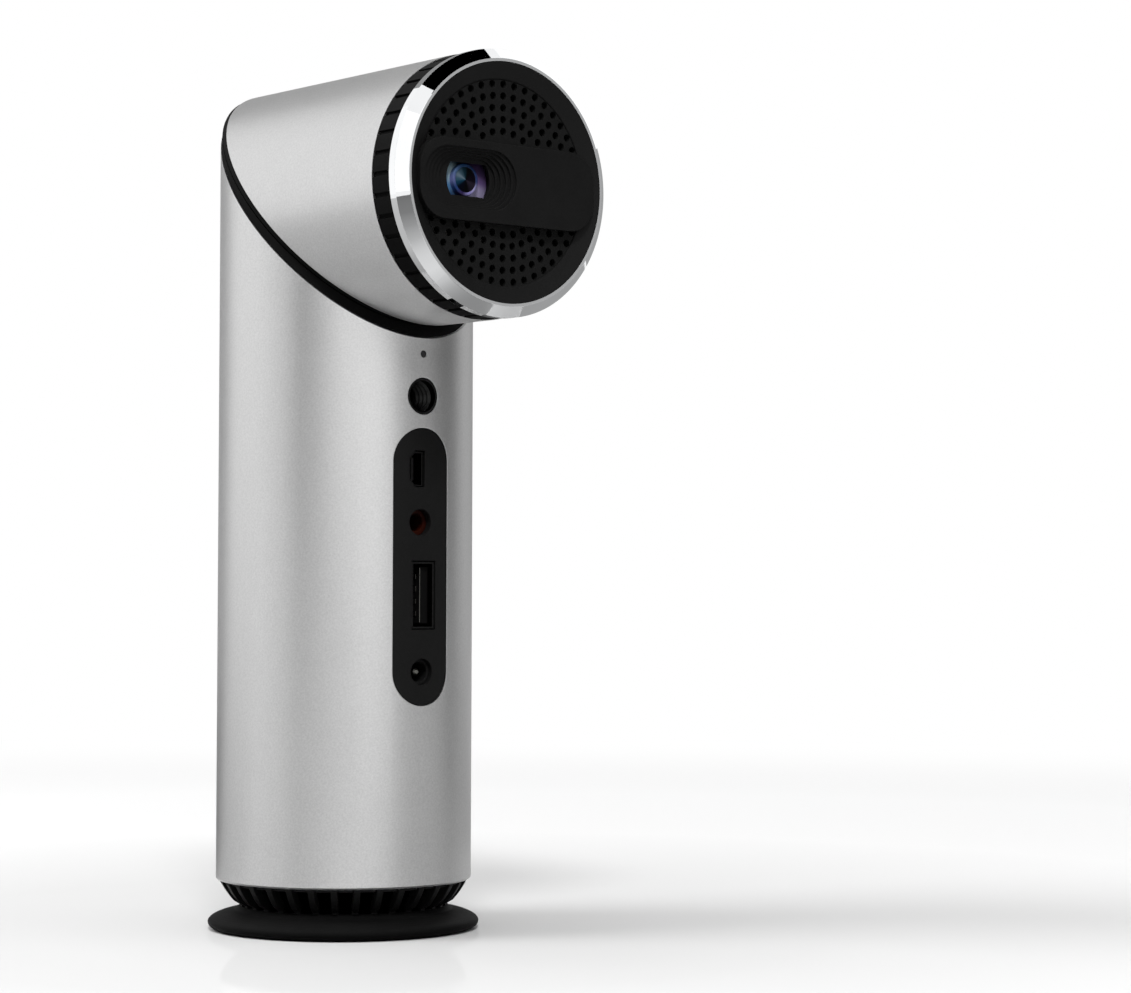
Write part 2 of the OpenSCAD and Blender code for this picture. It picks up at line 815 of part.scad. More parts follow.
module head_joint_ring() {
  color("#1a1a1a") {
    difference() {
      union() {
        intersection() {
          at_head() translate([0, 0, -2 * R]) cylinder(r = ring_r, h = 4 * R);
          slab(joint_gap / 2, head_ring_t);
        }
        intersection() {
          at_head() translate([0, 0, -2 * R]) cylinder(r = seat_r, h = 4 * R);
          slab(head_ring_t / 2, head_ring_t + spigot);
        }
      }
      intersection() {
        at_head() translate([0, 0, -2 * R]) cylinder(r = seat_r - 3, h = 4 * R);
        slab(plate_t, big);
      }
      at_elbow() {
        translate([0, 0, -big]) cylinder(r = pivot_d / 2 + fit, h = 2 * big);
        joint_windows();
      }
    }
    at_elbow() translate([stop_r, 0, -plate_t + 0.3]) cylinder(r = stop_pin_r, h = 2 * plate_t - 0.6);
  }
}

module pivot_sleeve() {
  color("#9fa3a7") at_elbow() difference() {
    union() {
      translate([0, 0, -sleeve_end]) cylinder(r = pivot_d / 2, h = sleeve_end + plate_t + slip);
      translate([0, 0, plate_t]) cylinder(r = sleeve_flange_r, h = sleeve_flange_t);
    }
    translate([0, 0, -sleeve_end - eps]) cylinder(r = pivot_bore / 2, h = 2 * sleeve_end + 2 * plate_t);
    translate([0, 0, -clip_z - clip_t - slip]) ring(pivot_d, pivot_d / 2 - 0.8, clip_t + 2 * slip);
  }
}

module pivot_clip() {
  color("#8b8f93") at_elbow() translate([0, 0, -clip_z - clip_t]) difference() {
    ring(sleeve_flange_r, pivot_d / 2 - 0.75, clip_t);
    block(-2.5, 2.5, 0, 2 * sleeve_flange_r, -eps, clip_t + eps);
  }
}

module head_cable() {
  color("#202124") {
    at_elbow() translate([0, 0, slip / 2]) cylinder(r = cable_r, h = head_run - slip / 2);
    at_head() translate([0, head_cable_y - head_bend, head_run / slope + head_bend / slope]) rotate([0, -90, 0])
      rotate([0, 0, 45 + 90]) mirror([0, 0, 1]) rotate_extrude(angle = 45) translate([head_bend, 0]) circle(r = cable_r);
  }
}
head_cable_y = head_run / slope + head_bend * (1 - 1 / slope);

module bezel_ring() {
  front_r = disc_r + bezel_lip;
  color("#dfe1e3") at_head() difference() {
    rotate_extrude() polygon([
      [bezel_in_r, bezel_s - 2.1], [focus_run_r, bezel_s - 2.1], [focus_run_r, bezel_s], [bezel_r - bezel_edge, bezel_s],
      [bezel_r, bezel_s + bezel_edge], [bezel_r, bezel_s + bezel_land],
      [front_r, head_len - 0.1], [front_r - 0.1, head_len], [disc_r + slip, head_len],
      [disc_r + slip, disc_back], [bezel_in_r, disc_back]
    ]);
  }
}

module post_places() {
  for (a = post_angles) rotate([0, 0, a]) translate([post_ring_r, 0, 0]) children();
}

module horn_outline(grow) {
  stadium(recess_w + 2 * grow, recess_h + 2 * grow);
}
recess_w = 2 * window_w + 1;
recess_lean = 0.7;
step_grow = 1;
window_side = 0.4;

module perforations() {
  for (i = [0:len(row_counts) - 1]) {
    r = row_r - i * row_pitch;
    n = row_counts[i];
    for (k = [0:n - 1]) {
      a = 360 * k / n + 90;
      if (abs(r * sin(a)) > bar_h / 2 - bar_sink + hole_d * 0.3) rotate([0, 0, a]) translate([r, 0]) circle(r = hole_d / 2);
    }
  }
}

module front_grille() {
  color("#191919") at_head() difference() {
    union() {
      translate([0, 0, disc_back]) linear_extrude(height = grille_t) difference() {
        circle(r = disc_r);
        perforations();
        translate([lens_x, 0]) horn_outline(0.8 + slip);
      }
      post_places() translate([0, 0, focus_s]) cylinder(r = post_r, h = disc_back - focus_s + free);
    }
    post_places() translate([0, 0, focus_s - eps]) cylinder(r = small_screw_r + fit, h = post_depth + eps);
  }
}

module lens_bezel() {
  steps = 5;
  color("#171717") at_head() difference() {
    union() {
      translate([0, -bar_sink, disc_s]) linear_extrude(height = bar_raise) rounded(bar_l, bar_h, bar_r);
      translate([lens_x, 0, tower_top - 1]) linear_extrude(height = disc_s - tower_top + 1 + bar_raise / 2) horn_outline(0.8);
      translate([lens_x, 0, gear_s + gear_w + slip]) cylinder(r = barrel_d / 2 + 2.2, h = tower_top - gear_s - gear_w - slip);
    }
    for (i = [0:steps - 1]) {
      w = recess_w + (window_w + step_grow - recess_w) * i / steps;
      h = recess_h + (window_h + step_grow - recess_h) * i / steps;
      translate([lens_x - recess_lean * (1 - i / steps), 0, bar_s - (i + 1) * recess_depth / steps])
        linear_extrude(height = recess_depth) stadium(w, h);
    }
    translate([lens_x + window_side, 0, horn_back - 0.1]) linear_extrude(height = recess_depth) intersection() {
      circle(r = window_w / 2);
      square([window_w + 2, window_h], center = true);
    }
    translate([lens_x, 0, 0]) cylinder(r = barrel_d / 2 + 0.6, h = horn_back);
  }
}

module front_frame() {
  color("#242424") at_head() difference() {
    translate([0, 0, frame_s]) linear_extrude(height = frame_t) difference() {
      union() {
        difference() {
          circle(r = seat_r);
          circle(r = tooth_tip_r - 1);
        }
        translate([lens_x, 0]) circle(r = gear_hub_r + 3);
        translate([lens_x, 0]) square([5, 2 * sqrt(seat_r * seat_r - lens_x * lens_x) - 4], center = true);
        translate([-seat_r + 1, -4]) square([seat_r + lens_x - gear_hub_r, 8]);
        post_places() circle(r = 3);
      }
      translate([lens_x, 0]) circle(r = gear_hub_r + fit);
      post_places() circle(r = small_screw_r + slip);
    }
  }
}

module head_screws() {
  color("#b8bcc0") at_head() post_places() {
    translate([0, 0, frame_s - small_head_h]) cylinder(r = small_head_r, h = small_head_h);
    translate([0, 0, frame_s - small_head_h / 2]) cylinder(r = small_screw_r, h = frame_t + post_depth);
  }
}

// Light engine

module engine_housing() {
  x1 = engine_x0 + engine_w;
  w = engine_wall;
  color("#2c2e30") at_head() difference() {
    union() {
      difference() {
        block(engine_x0, x1, -engine_h / 2, engine_h / 2, engine_back, frame_s);
        block(engine_x0 + w, x1 - w, -engine_h / 2 + w, engine_h, engine_back + w, frame_s - w);
      }
      for (x = collimator_xs) block(x + 0.5, x + collimator_t - 0.5, -engine_h / 2 + w / 2, -1, led_s - 5, led_s + 5);
    }
    for (i = [0, 1]) translate([collimator_xs[i] - eps, 0, led_s]) rotate([0, 90, 0])
      cylinder(r = collimator_rs[i] + fit, h = collimator_t + 2 * eps);
    translate([lens_x, 0, barrel_back - lens_travel - 2 * free]) cylinder(r = barrel_d / 2 + 2 * slip, h = R);
    translate([lens_x, 0, 0]) block(-dmd_w / 3, dmd_w / 3, -dmd_w / 4, dmd_w / 4, engine_back - eps, engine_back + 2 * w);
    translate([x1 - 2 * w, 0, led_s]) rotate([0, 90, 0]) cylinder(r = led_w / 3, h = 3 * w);
    translate([lens_x, -engine_h / 2 - eps, led_s]) rotate([-90, 0, 0]) cylinder(r = led_w / 3, h = 2 * w);
    at_key() cylinder(r = key_r + fit, h = engine_h, center = true);
  }
}

// The key comes down through the lid and the front wall into the barrel's keyway
module at_key() { translate([lens_x, lid_y + lid_t, key_s]) rotate([90, 0, 0]) children(); }

module engine_lid() {
  color("#3a3c3f") at_head() difference() {
    block(engine_x0, engine_x0 + engine_w, lid_y, lid_y + lid_t, engine_back, frame_s);
    at_key() cylinder(r = key_r + fit, h = engine_h, center = true);
  }
}

module tir_prism() {
  color("#bcd4e6") at_head() translate([lens_x - prism_w / 2, -prism_w / 2 + 0.4, engine_back + engine_wall])
    linear_extrude(height = prism_w - 1) polygon([[0, 0], [prism_w, 0], [0, prism_w]]);
}

module collimator_lenses() {
  color("#cfe2ee") at_head() for (i = [0, 1])
    translate([collimator_xs[i], 0, led_s]) rotate([0, 90, 0]) cylinder(r = collimator_rs[i], h = collimator_t);
}

module led_modules() {
  color("#d8d2b8") at_head() {
    block(engine_x0 + engine_w, engine_x0 + engine_w + led_t, -led_w / 2, led_w / 2, led_s - led_w / 2, led_s + led_w / 2);
    block(lens_x - led_w / 2, lens_x + led_w / 2, -engine_h / 2 - led_t, -engine_h / 2, led_s - led_w / 2, led_s + led_w / 2);
  }
}

module dmd_chip() {
  color("#5f666c") at_head() block(lens_x - dmd_w / 2, lens_x + dmd_w / 2, -dmd_w / 3, dmd_w / 3, engine_back - dmd_t, engine_back);
}

module engine_board() {
  s1 = engine_back - dmd_t;
  s0 = s1 - engine_board_t;
  color("#1d5c38") at_head() {
    block(lens_x - dmd_w / 2, header_w, -engine_h / 2 + 2 * free, engine_h / 2 + lid_t, s0, s1);
    block(-header_w / 2, header_w / 2, head_cable_y - header_h / 2, head_cable_y + header_h / 2,
      (head_run + head_bend) / slope, s0 + engine_board_t / 2);
  }
}

module engine_heatsink() {
  fins = 7;
  x_mid = engine_x0 + engine_w / 2;
  y0 = lid_y + lid_t;
  y1 = sqrt(pow(seat_r - fin_t, 2) - pow(abs(x_mid) + fin_half, 2));
  s0 = engine_back + fin_t;
  s1 = frame_s - small_head_h - fin_t;
  color("#9ea2a6") at_head() {
    block(x_mid - fin_half, x_mid + fin_half, y0, y0 + 2 * fin_t, s0, s1);
    for (i = [0:fins - 1]) translate([x_mid - fin_half + i * (2 * fin_half - fin_t) / (fins - 1), y0, s0])
      cube([fin_t, y1 - y0, s1 - s0]);
  }
}

module speaker() {
  edge = speaker_t / 3;
  color("#232323") at_head() translate([0, 0, disc_back - speaker_t]) {
    block(speaker_x, speaker_x + speaker_w, -speaker_h / 2, speaker_h / 2, 0, 2 * edge);
    block(speaker_x + edge, speaker_x + speaker_w - edge, -speaker_h / 2 + edge, speaker_h / 2 - edge, edge, speaker_t);
  }
}
speaker_x = lens_x + gear_pitch_r + gear_m + 2 * eps;

// Focus drive

module focus_ring() {
  s0 = focus_s + slip;
  s1 = bezel_s - slip;
  color("#181818") at_head() difference() {
    translate([0, 0, s0]) cylinder(r = focus_r, h = s1 - s0);
    translate([0, 0, s0 - eps]) linear_extrude(height = gear_w + eps + slip)
      polygon(gear_outline(ring_teeth, [tooth_tip_r - 0.2, ring_pitch_r - gear_m / 2, ring_pitch_r, ring_pitch_r + 1.25 * gear_m], backlash));
    translate([0, 0, s0 - eps]) cylinder(r = tooth_tip_r, h = focus_w);
    translate([0, 0, s0 + gear_w + slip - 0.02]) cylinder(r = focus_run_r + fit, h = focus_w);
    for (k = [0:focus_notches - 1]) rotate([0, 0, 360 * k / focus_notches])
      block(focus_r - notch_depth, R + 1, -notch_w / 2, notch_w / 2, s0 - eps, s1 + eps);
  }
}

module lens_gear() {
  color("#d9d6cc") at_lens(0) difference() {
    union() {
      translate([0, 0, gear_s]) linear_extrude(height = gear_w)
        polygon(gear_outline(gear_teeth, [gear_pitch_r - 1.25 * gear_m, gear_pitch_r - 0.7 * gear_m, gear_pitch_r, gear_pitch_r + gear_m], -backlash));
      translate([0, 0, frame_s + slip]) cylinder(r = gear_hub_r, h = gear_s + gear_w / 2 - frame_s - slip);
    }
    translate([0, 0, frame_s - eps]) cylinder(r = barrel_d / 2 + fit, h = 2 * focus_w + frame_t);
  }
}

module lens_barrel() {
  color("#1b1b1d") at_lens(0) difference() {
    translate([0, 0, barrel_back]) cylinder(r = barrel_d / 2, h = barrel_front - barrel_back);
    translate([0, 0, lens_seat]) cylinder(r = front_lens_d / 2 + fit, h = 2 * front_lens_t);
    translate([0, 0, barrel_back - eps]) cylinder(r = front_lens_d / 2 + fit, h = rear_lens_t + free + eps);
    translate([0, 0, barrel_back]) cylinder(r = front_lens_d / 2 - 2 * shell_t, h = barrel_front - barrel_back);
    block(-key_r - slip, key_r + slip, barrel_d / 2 - key_depth, barrel_d, key_s - key_play, key_s + key_play);
  }
}

module front_lens() {
  color("#3a4a78") at_lens(lens_seat) intersection() {
    cylinder(r = front_lens_d / 2, h = front_lens_t);
    translate([0, 0, front_lens_t - lens_dome]) sphere(r = lens_dome);
  }
}

module rear_lens() {
  color("#9fb4cc") at_lens(barrel_back + free) cylinder(r = front_lens_d / 2, h = rear_lens_t);
}

module focus_key() {
  color("#b8bcc0") at_head() at_key() cylinder(r = key_r, h = lid_y + lid_t - barrel_d / 2 + key_depth - free);
}

lower_tube();
base_foot();
foot_pad();
vent_cage();
base_screws();
fan_frame();
fan_rotor();
chassis();
battery_cells();
battery_tray();
main_board();
board_chips();
board_screws();
port_panel();
video_socket();
audio_jack();
usb_shell();
usb_tongue();
dc_jack();
dc_pin();
tripod_insert();
light_pipes();
button_board();
tact_switches();
menu_button();
ok_button();
up_button();
down_button();
left_button();
right_button();
power_button();
body_joint_ring();
friction_washer();
lower_cable();
head_tube();
head_joint_ring();
pivot_sleeve();
pivot_clip();
bezel_ring();
front_grille();
lens_bezel();
front_frame();
head_screws();
engine_housing();
engine_lid();
tir_prism();
collimator_lenses();
led_modules();
dmd_chip();
engine_board();
engine_heatsink();
speaker();
head_cable();
focus_ring();
lens_gear();
lens_barrel();
front_lens();
rear_lens();
focus_key();
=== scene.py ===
# %% [markdown]
# # A pocket projector with a swivel head
# The real object is a satin silver tube on a black ribbed foot. Its upper end is cut at 45
# degrees and carries a short head with a focus ring, a polished bezel and a black face with
# the lens. The CAD model already holds every rigid shape at its true size, so this lesson
# keeps those shapes, gives each one the finish of the real material, with painted shade on the
# rings and on the parts that lie deep, and adds only what is too fine for CAD: the lens
# coatings with painted reflection, the sloping rim of the face, the screw thread, the printed
# signs and the USB contacts.

# %% Load the CAD frame
import json
import math

import bmesh
import bpy
from mathutils import Matrix, Vector


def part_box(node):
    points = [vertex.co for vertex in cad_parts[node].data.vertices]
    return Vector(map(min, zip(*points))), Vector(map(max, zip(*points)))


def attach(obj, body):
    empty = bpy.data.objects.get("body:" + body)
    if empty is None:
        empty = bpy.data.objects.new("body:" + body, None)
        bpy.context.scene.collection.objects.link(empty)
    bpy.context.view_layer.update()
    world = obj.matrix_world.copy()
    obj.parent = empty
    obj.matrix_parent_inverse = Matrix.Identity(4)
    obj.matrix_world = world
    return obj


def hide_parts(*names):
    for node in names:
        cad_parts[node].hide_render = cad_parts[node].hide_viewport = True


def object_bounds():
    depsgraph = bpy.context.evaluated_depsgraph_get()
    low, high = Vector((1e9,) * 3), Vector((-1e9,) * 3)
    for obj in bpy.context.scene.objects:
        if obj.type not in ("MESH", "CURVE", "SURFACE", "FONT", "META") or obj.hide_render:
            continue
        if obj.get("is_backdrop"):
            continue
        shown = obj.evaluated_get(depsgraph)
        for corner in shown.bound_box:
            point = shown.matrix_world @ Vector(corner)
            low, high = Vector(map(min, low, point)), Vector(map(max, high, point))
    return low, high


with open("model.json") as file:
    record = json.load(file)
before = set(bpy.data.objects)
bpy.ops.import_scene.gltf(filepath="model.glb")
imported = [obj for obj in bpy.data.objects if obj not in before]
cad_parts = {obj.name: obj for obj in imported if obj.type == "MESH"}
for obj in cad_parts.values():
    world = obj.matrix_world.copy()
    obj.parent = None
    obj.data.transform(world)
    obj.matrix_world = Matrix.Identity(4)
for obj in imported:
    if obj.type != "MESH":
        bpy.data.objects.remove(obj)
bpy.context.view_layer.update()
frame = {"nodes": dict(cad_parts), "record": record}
nodes = frame["nodes"]
scene = bpy.context.scene
MM = 0.001


def size_mm(low, high):
    return [round((b - a) / MM, 1) for a, b in zip(low, high)]


def add_object(name, data):
    """A new object that holds this mesh, lamp or camera, linked to the scene."""
    made = bpy.data.objects.new(name, data)
    scene.collection.objects.link(made)
    return made


# %% [markdown]
# ## The camera
# The picture was taken from the left of the lens, a little above the foot, with a long lens.
# A camera can be placed by eye, or solved from known points. Here it was solved: the outline
# of a 52 mm tube fixes the distance, the turn and the focal length, and the values below put
# it back. Turning it with three plain angles keeps the small tilt and roll readable.

# %% Camera
PHOTO_W = 1131
SENSOR = 36.0
FOCAL_PX = 2966.76
AZIMUTH, DISTANCE, HEIGHT = math.radians(-36.126), 611.04 * MM, 69.503 * MM
YAW, PITCH, ROLL = math.radians(-4.238), math.radians(1.76), math.radians(0.18)

up = Vector((0, 0, 1))
toward = Vector((-math.sin(AZIMUTH), math.cos(AZIMUTH), 0))
side = Vector((math.cos(AZIMUTH), math.sin(AZIMUTH), 0))
ahead = toward * math.cos(YAW) - side * math.sin(YAW)
right = side * math.cos(YAW) + toward * math.sin(YAW)
view_dir = ahead * math.cos(PITCH) + up * math.sin(PITCH)
view_up = up * math.cos(PITCH) - ahead * math.sin(PITCH)
cam_x = right * math.cos(ROLL) + view_up * math.sin(ROLL)
cam_y = view_up * math.cos(ROLL) - right * math.sin(ROLL)

camera = add_object("camera", bpy.data.cameras.new("camera"))
camera.data.sensor_width = SENSOR
camera.data.lens = FOCAL_PX * SENSOR / PHOTO_W
camera.data.clip_start, camera.data.clip_end = 0.01, 50
axes = Matrix((cam_x, cam_y, -view_dir)).transposed().to_4x4()
camera.matrix_world = Matrix.Translation(-toward * DISTANCE + up * HEIGHT) @ axes
scene.camera = camera
print("focal length", round(camera.data.lens, 2), "mm")

# %% [markdown]
# ## Shared surface effects
# Several materials share the same small effects: the speckle of a blasted or moulded surface,
# the faint smears that handling leaves, the softened edge of a real part and the rings that a
# lathe leaves. Each effect is one node group with named sockets, so a material only states its
# own scale and colours. The first three work in metres, so a scale of 2000 means grains of
# about half a millimetre whatever the size of the piece, and the rings follow the piece's box.

# %% Helpers for single nodes
def link(tree, source, target):
    tree.links.new(source, target)


def feed(tree, given, socket):
    """Links another socket to this one, or sets it to a plain value."""
    if hasattr(given, "links"):
        link(tree, given, socket)
    else:
        socket.default_value = given


def add_node(tree, kind, **settings):
    node = tree.nodes.new(kind)
    for key, value in settings.items():
        setattr(node, key, value)
    return node


def coordinates(tree, kind="Object"):
    return add_node(tree, "ShaderNodeTexCoord").outputs[kind]


def split(tree, vector):
    node = add_node(tree, "ShaderNodeSeparateXYZ")
    link(tree, vector, node.inputs[0])
    return node.outputs


def noise(tree, vector, scale, detail=2.0, roughness=0.5):
    node = tree.nodes.new("ShaderNodeTexNoise")
    link(tree, vector, node.inputs["Vector"])
    feed(tree, scale, node.inputs["Scale"])
    node.inputs["Detail"].default_value = detail
    node.inputs["Roughness"].default_value = roughness
    return node.outputs["Fac"]


def math_node(tree, operation, *values):
    node = add_node(tree, "ShaderNodeMath", operation=operation)
    for socket, value in zip(node.inputs, values):
        feed(tree, value, socket)
    return node.outputs[0]


def mix_colours(tree, factor, first, second):
    node = add_node(tree, "ShaderNodeMix", data_type="RGBA")
    for place, given in ((0, factor), (6, first), (7, second)):
        feed(tree, given, node.inputs[place])
    return node.outputs[2]


def mix_shaders(tree, factor, first, second):
    node = tree.nodes.new("ShaderNodeMixShader")
    for socket, given in zip(node.inputs, (factor, first, second)):
        link(tree, given, socket)
    return node.outputs[0]


print("single nodes ready")

# %% Helpers for small chains
def new_group(name, inputs, outputs):
    """A shader node group with its sockets; returns the tree and its two end nodes."""
    tree = bpy.data.node_groups.new(name, "ShaderNodeTree")
    for label, kind, value in inputs:
        socket = tree.interface.new_socket(label, in_out="INPUT", socket_type=kind)
        socket.default_value = value
    for label, kind in outputs:
        tree.interface.new_socket(label, in_out="OUTPUT", socket_type=kind)
    return tree, tree.nodes.new("NodeGroupInput"), tree.nodes.new("NodeGroupOutput")


def spread(tree, value, low, high, to_low, to_high):
    """Stretches a value from low..high to to_low..to_high, held at both ends."""
    node = add_node(tree, "ShaderNodeMapRange", clamp=True)
    given = {"Value": value, "From Min": low, "From Max": high, "To Min": to_low, "To Max": to_high}
    for label, one in given.items():
        feed(tree, one, node.inputs[label])
    return node.outputs["Result"]


def radius_of(tree, a, b):
    """The distance from a centre line, from the two coordinates across it."""
    squares = [math_node(tree, "MULTIPLY", one, one) for one in (a, b)]
    return math_node(tree, "SQRT", math_node(tree, "ADD", *squares))


def distance(tree):
    """The distance from the object's own origin."""
    length = add_node(tree, "ShaderNodeVectorMath", operation="LENGTH")
    link(tree, coordinates(tree), length.inputs[0])
    return length.outputs["Value"]


def colour_ramp(tree, factor, stops, interpolation="LINEAR"):
    """Colours along a factor, from (position, colour) stops in rising order."""
    ramp = tree.nodes.new("ShaderNodeValToRGB")
    ramp.color_ramp.interpolation = interpolation
    elements = ramp.color_ramp.elements
    while len(elements) < len(stops):
        elements.new(0.5)
    for element, (position, colour) in zip(elements, stops):
        element.position, element.color = position, colour
    link(tree, factor, ramp.inputs[0])
    return ramp.outputs[0]


print("small chains ready")

# %% Speckled grain
FLOAT, COLOUR, VECTOR = "NodeSocketFloat", "NodeSocketColor", "NodeSocketVector"
GRAIN_SPAN = (0.32, 0.68)
CLOUD_SCALE = 0.06


def make_fine_grain():
    """Speckle of a blasted or spark-textured surface, with slow clouds under it."""
    tree, start, end = new_group(
        "fine_grain",
        [("Scale", FLOAT, 2000.0), ("Dark", COLOUR, (0, 0, 0, 1)), ("Light", COLOUR, (1, 1, 1, 1)),
         ("Smooth", FLOAT, 0.3), ("Rough", FLOAT, 0.5), ("Clouds", FLOAT, 0.3)],
        [("Color", COLOUR), ("Roughness", FLOAT), ("Height", FLOAT)],
    )
    given = start.outputs
    place = coordinates(tree)
    speck = noise(tree, place, given["Scale"], 3.0, 0.65)
    cloud = noise(tree, place, math_node(tree, "MULTIPLY", given["Scale"], CLOUD_SCALE))
    swing = math_node(tree, "MULTIPLY", math_node(tree, "SUBTRACT", cloud, speck), given["Clouds"])
    both = math_node(tree, "ADD", speck, swing)
    level = spread(tree, both, *GRAIN_SPAN, 0.0, 1.0)
    gloss = spread(tree, both, *GRAIN_SPAN, given["Smooth"], given["Rough"])
    link(tree, mix_colours(tree, level, given["Dark"], given["Light"]), end.inputs["Color"])
    link(tree, gloss, end.inputs["Roughness"])
    link(tree, speck, end.inputs["Height"])
    return tree


FINE_GRAIN = make_fine_grain()
print("group", FINE_GRAIN.name)

# %% Handling smears
SMEAR_SPAN = (0.45, 0.75)


def make_handling_smear():
    """Slow change of gloss where fingers and cloths have passed."""
    tree, start, end = new_group(
        "handling_smear",
        [("Scale", FLOAT, 60.0), ("Clean", FLOAT, 0.1), ("Smeared", FLOAT, 0.2)],
        [("Roughness", FLOAT), ("Mask", FLOAT)],
    )
    given = start.outputs
    cloud = noise(tree, coordinates(tree), given["Scale"], 4.0, 0.6)
    gloss = spread(tree, cloud, *SMEAR_SPAN, given["Clean"], given["Smeared"])
    link(tree, gloss, end.inputs["Roughness"])
    link(tree, spread(tree, cloud, *SMEAR_SPAN, 0.0, 1.0), end.inputs["Mask"])
    return tree


HANDLING_SMEAR = make_handling_smear()
print("group", HANDLING_SMEAR.name)

# %% Softened edges
def make_soft_edge():
    """The small round that every real edge has, as a normal."""
    tree, start, end = new_group("soft_edge", [("Radius", FLOAT, 0.2 * MM)], [("Normal", VECTOR)])
    rounded = add_node(tree, "ShaderNodeBevel", samples=6)
    link(tree, start.outputs["Radius"], rounded.inputs["Radius"])
    link(tree, rounded.outputs[0], end.inputs["Normal"])
    return tree


SOFT_EDGE = make_soft_edge()
print("group", SOFT_EDGE.name)

# %% Lathe rings
def make_lathe_rings():
    """Fine rings round a piece's own centre line, which runs along Y."""
    tree, start, end = new_group("lathe_rings", [("Rings", FLOAT, 40.0)], [("Height", FLOAT)])
    place = split(tree, coordinates(tree, "Generated"))
    across = [math_node(tree, "SUBTRACT", place[axis], 0.5) for axis in ("X", "Z")]
    count = math_node(tree, "MULTIPLY", radius_of(tree, *across), start.outputs["Rings"])
    wave = math_node(tree, "SINE", math_node(tree, "MULTIPLY", count, 2 * math.pi))
    link(tree, spread(tree, wave, -1.0, 1.0, 0.0, 1.0), end.inputs["Height"])
    return tree


LATHE_RINGS = make_lathe_rings()
print("group", LATHE_RINGS.name)

# %% [markdown]
# ## A finish in one call
# Most surfaces here are one base with grain, so a small function builds them: a Principled
# shader that stays in the material, the grain group for colour, gloss and height, and the
# soft edge group for the normal. Numbers that are the same all over go straight on the
# shader's own sockets.

# %% Finish builder
def place_group(tree, group, **values):
    node = tree.nodes.new("ShaderNodeGroup")
    node.node_tree = group
    for label, value in values.items():
        node.inputs[label].default_value = value
    return node


def grey(level, tint=(1.0, 1.0, 1.0)):
    return (level * tint[0], level * tint[1], level * tint[2], 1.0)


def new_material(name):
    material = bpy.data.materials.new(name)
    material.use_nodes = True
    return material, material.node_tree, material.node_tree.nodes["Principled BSDF"]


def bare_material(name):
    """A material with an empty tree; returns it, the tree and the socket for the surface."""
    material = bpy.data.materials.new(name)
    material.use_nodes = True
    tree = material.node_tree
    tree.nodes.clear()
    return material, tree, tree.nodes.new("ShaderNodeOutputMaterial").inputs["Surface"]


def bump(tree, height, normal, strength, depth):
    node = tree.nodes.new("ShaderNodeBump")
    node.inputs["Strength"].default_value = strength
    node.inputs["Distance"].default_value = depth
    link(tree, height, node.inputs["Height"])
    if normal is not None:
        link(tree, normal, node.inputs["Normal"])
    return node.outputs["Normal"]


def grained(name, dark, light, smooth, rough, scale, metallic=0.0, level=0.5, edge=0.15 * MM,
            strength=0.2, depth=0.04 * MM, clouds=0.3):
    """A grained finish: two close colours, two gloss values and a speckle of that scale."""
    material, tree, shader = new_material(name)
    grain = place_group(tree, FINE_GRAIN, Scale=scale, Dark=dark, Light=light, Smooth=smooth,
                        Rough=rough, Clouds=clouds).outputs
    edges = place_group(tree, SOFT_EDGE, Radius=edge).outputs
    normal = bump(tree, grain["Height"], edges["Normal"], strength, depth)
    link(tree, grain["Color"], shader.inputs["Base Color"])
    link(tree, grain["Roughness"], shader.inputs["Roughness"])
    link(tree, normal, shader.inputs["Normal"])
    shader.inputs["Metallic"].default_value = metallic
    shader.inputs["Specular IOR Level"].default_value = level
    return material


print("finish builder ready")

# %% [markdown]
# ## Blasted silver
# Both tubes are aluminium, blasted with fine beads and then anodised. The metal is bright, but
# the blast breaks up its mirror, so it shows broad soft bands and a fine sparkle. A metallic
# shader with a middle roughness gives the bands, and the grain gives the sparkle.

# %% Silver tubes
SILVER = grained("silver_anodised", grey(0.603), grey(0.717), 0.347, 0.413, 2600.0, metallic=1.0,
                 strength=0.16, depth=0.05 * MM, clouds=0.1)
print(SILVER.name)

# %% [markdown]
# ## Black mouldings
# The rings, the face, the port panel, the ribs and the foot are black plastic with the fine
# even texture of a spark-eroded mould. It reflects little, so its specular level is low. The
# rings take a darker, duller copy of it as painted shade. The foot pad is rubber, duller and a
# little lighter. Behind the ribs of the vent the moulding lies in deep shade, which is painted
# in: toward the centre line its colour turns to dead black and its shine dies away.

# %% Black plastics and rubber
BLACK = grained("black_plastic", grey(0.0092), grey(0.0135), 0.42, 0.52, 3200.0, level=0.1,
                edge=0.25 * MM, strength=0.12)
# The three rings: a darker, duller copy of the black plastic, its extra dark being painted shade.
RING_BLACK_PAINTED_SHADE = grained("ring_black_painted_shade", grey(0.0072), grey(0.0115), 0.5, 0.6, 3200.0,
                      level=0.015, edge=0.2 * MM, strength=0.12)
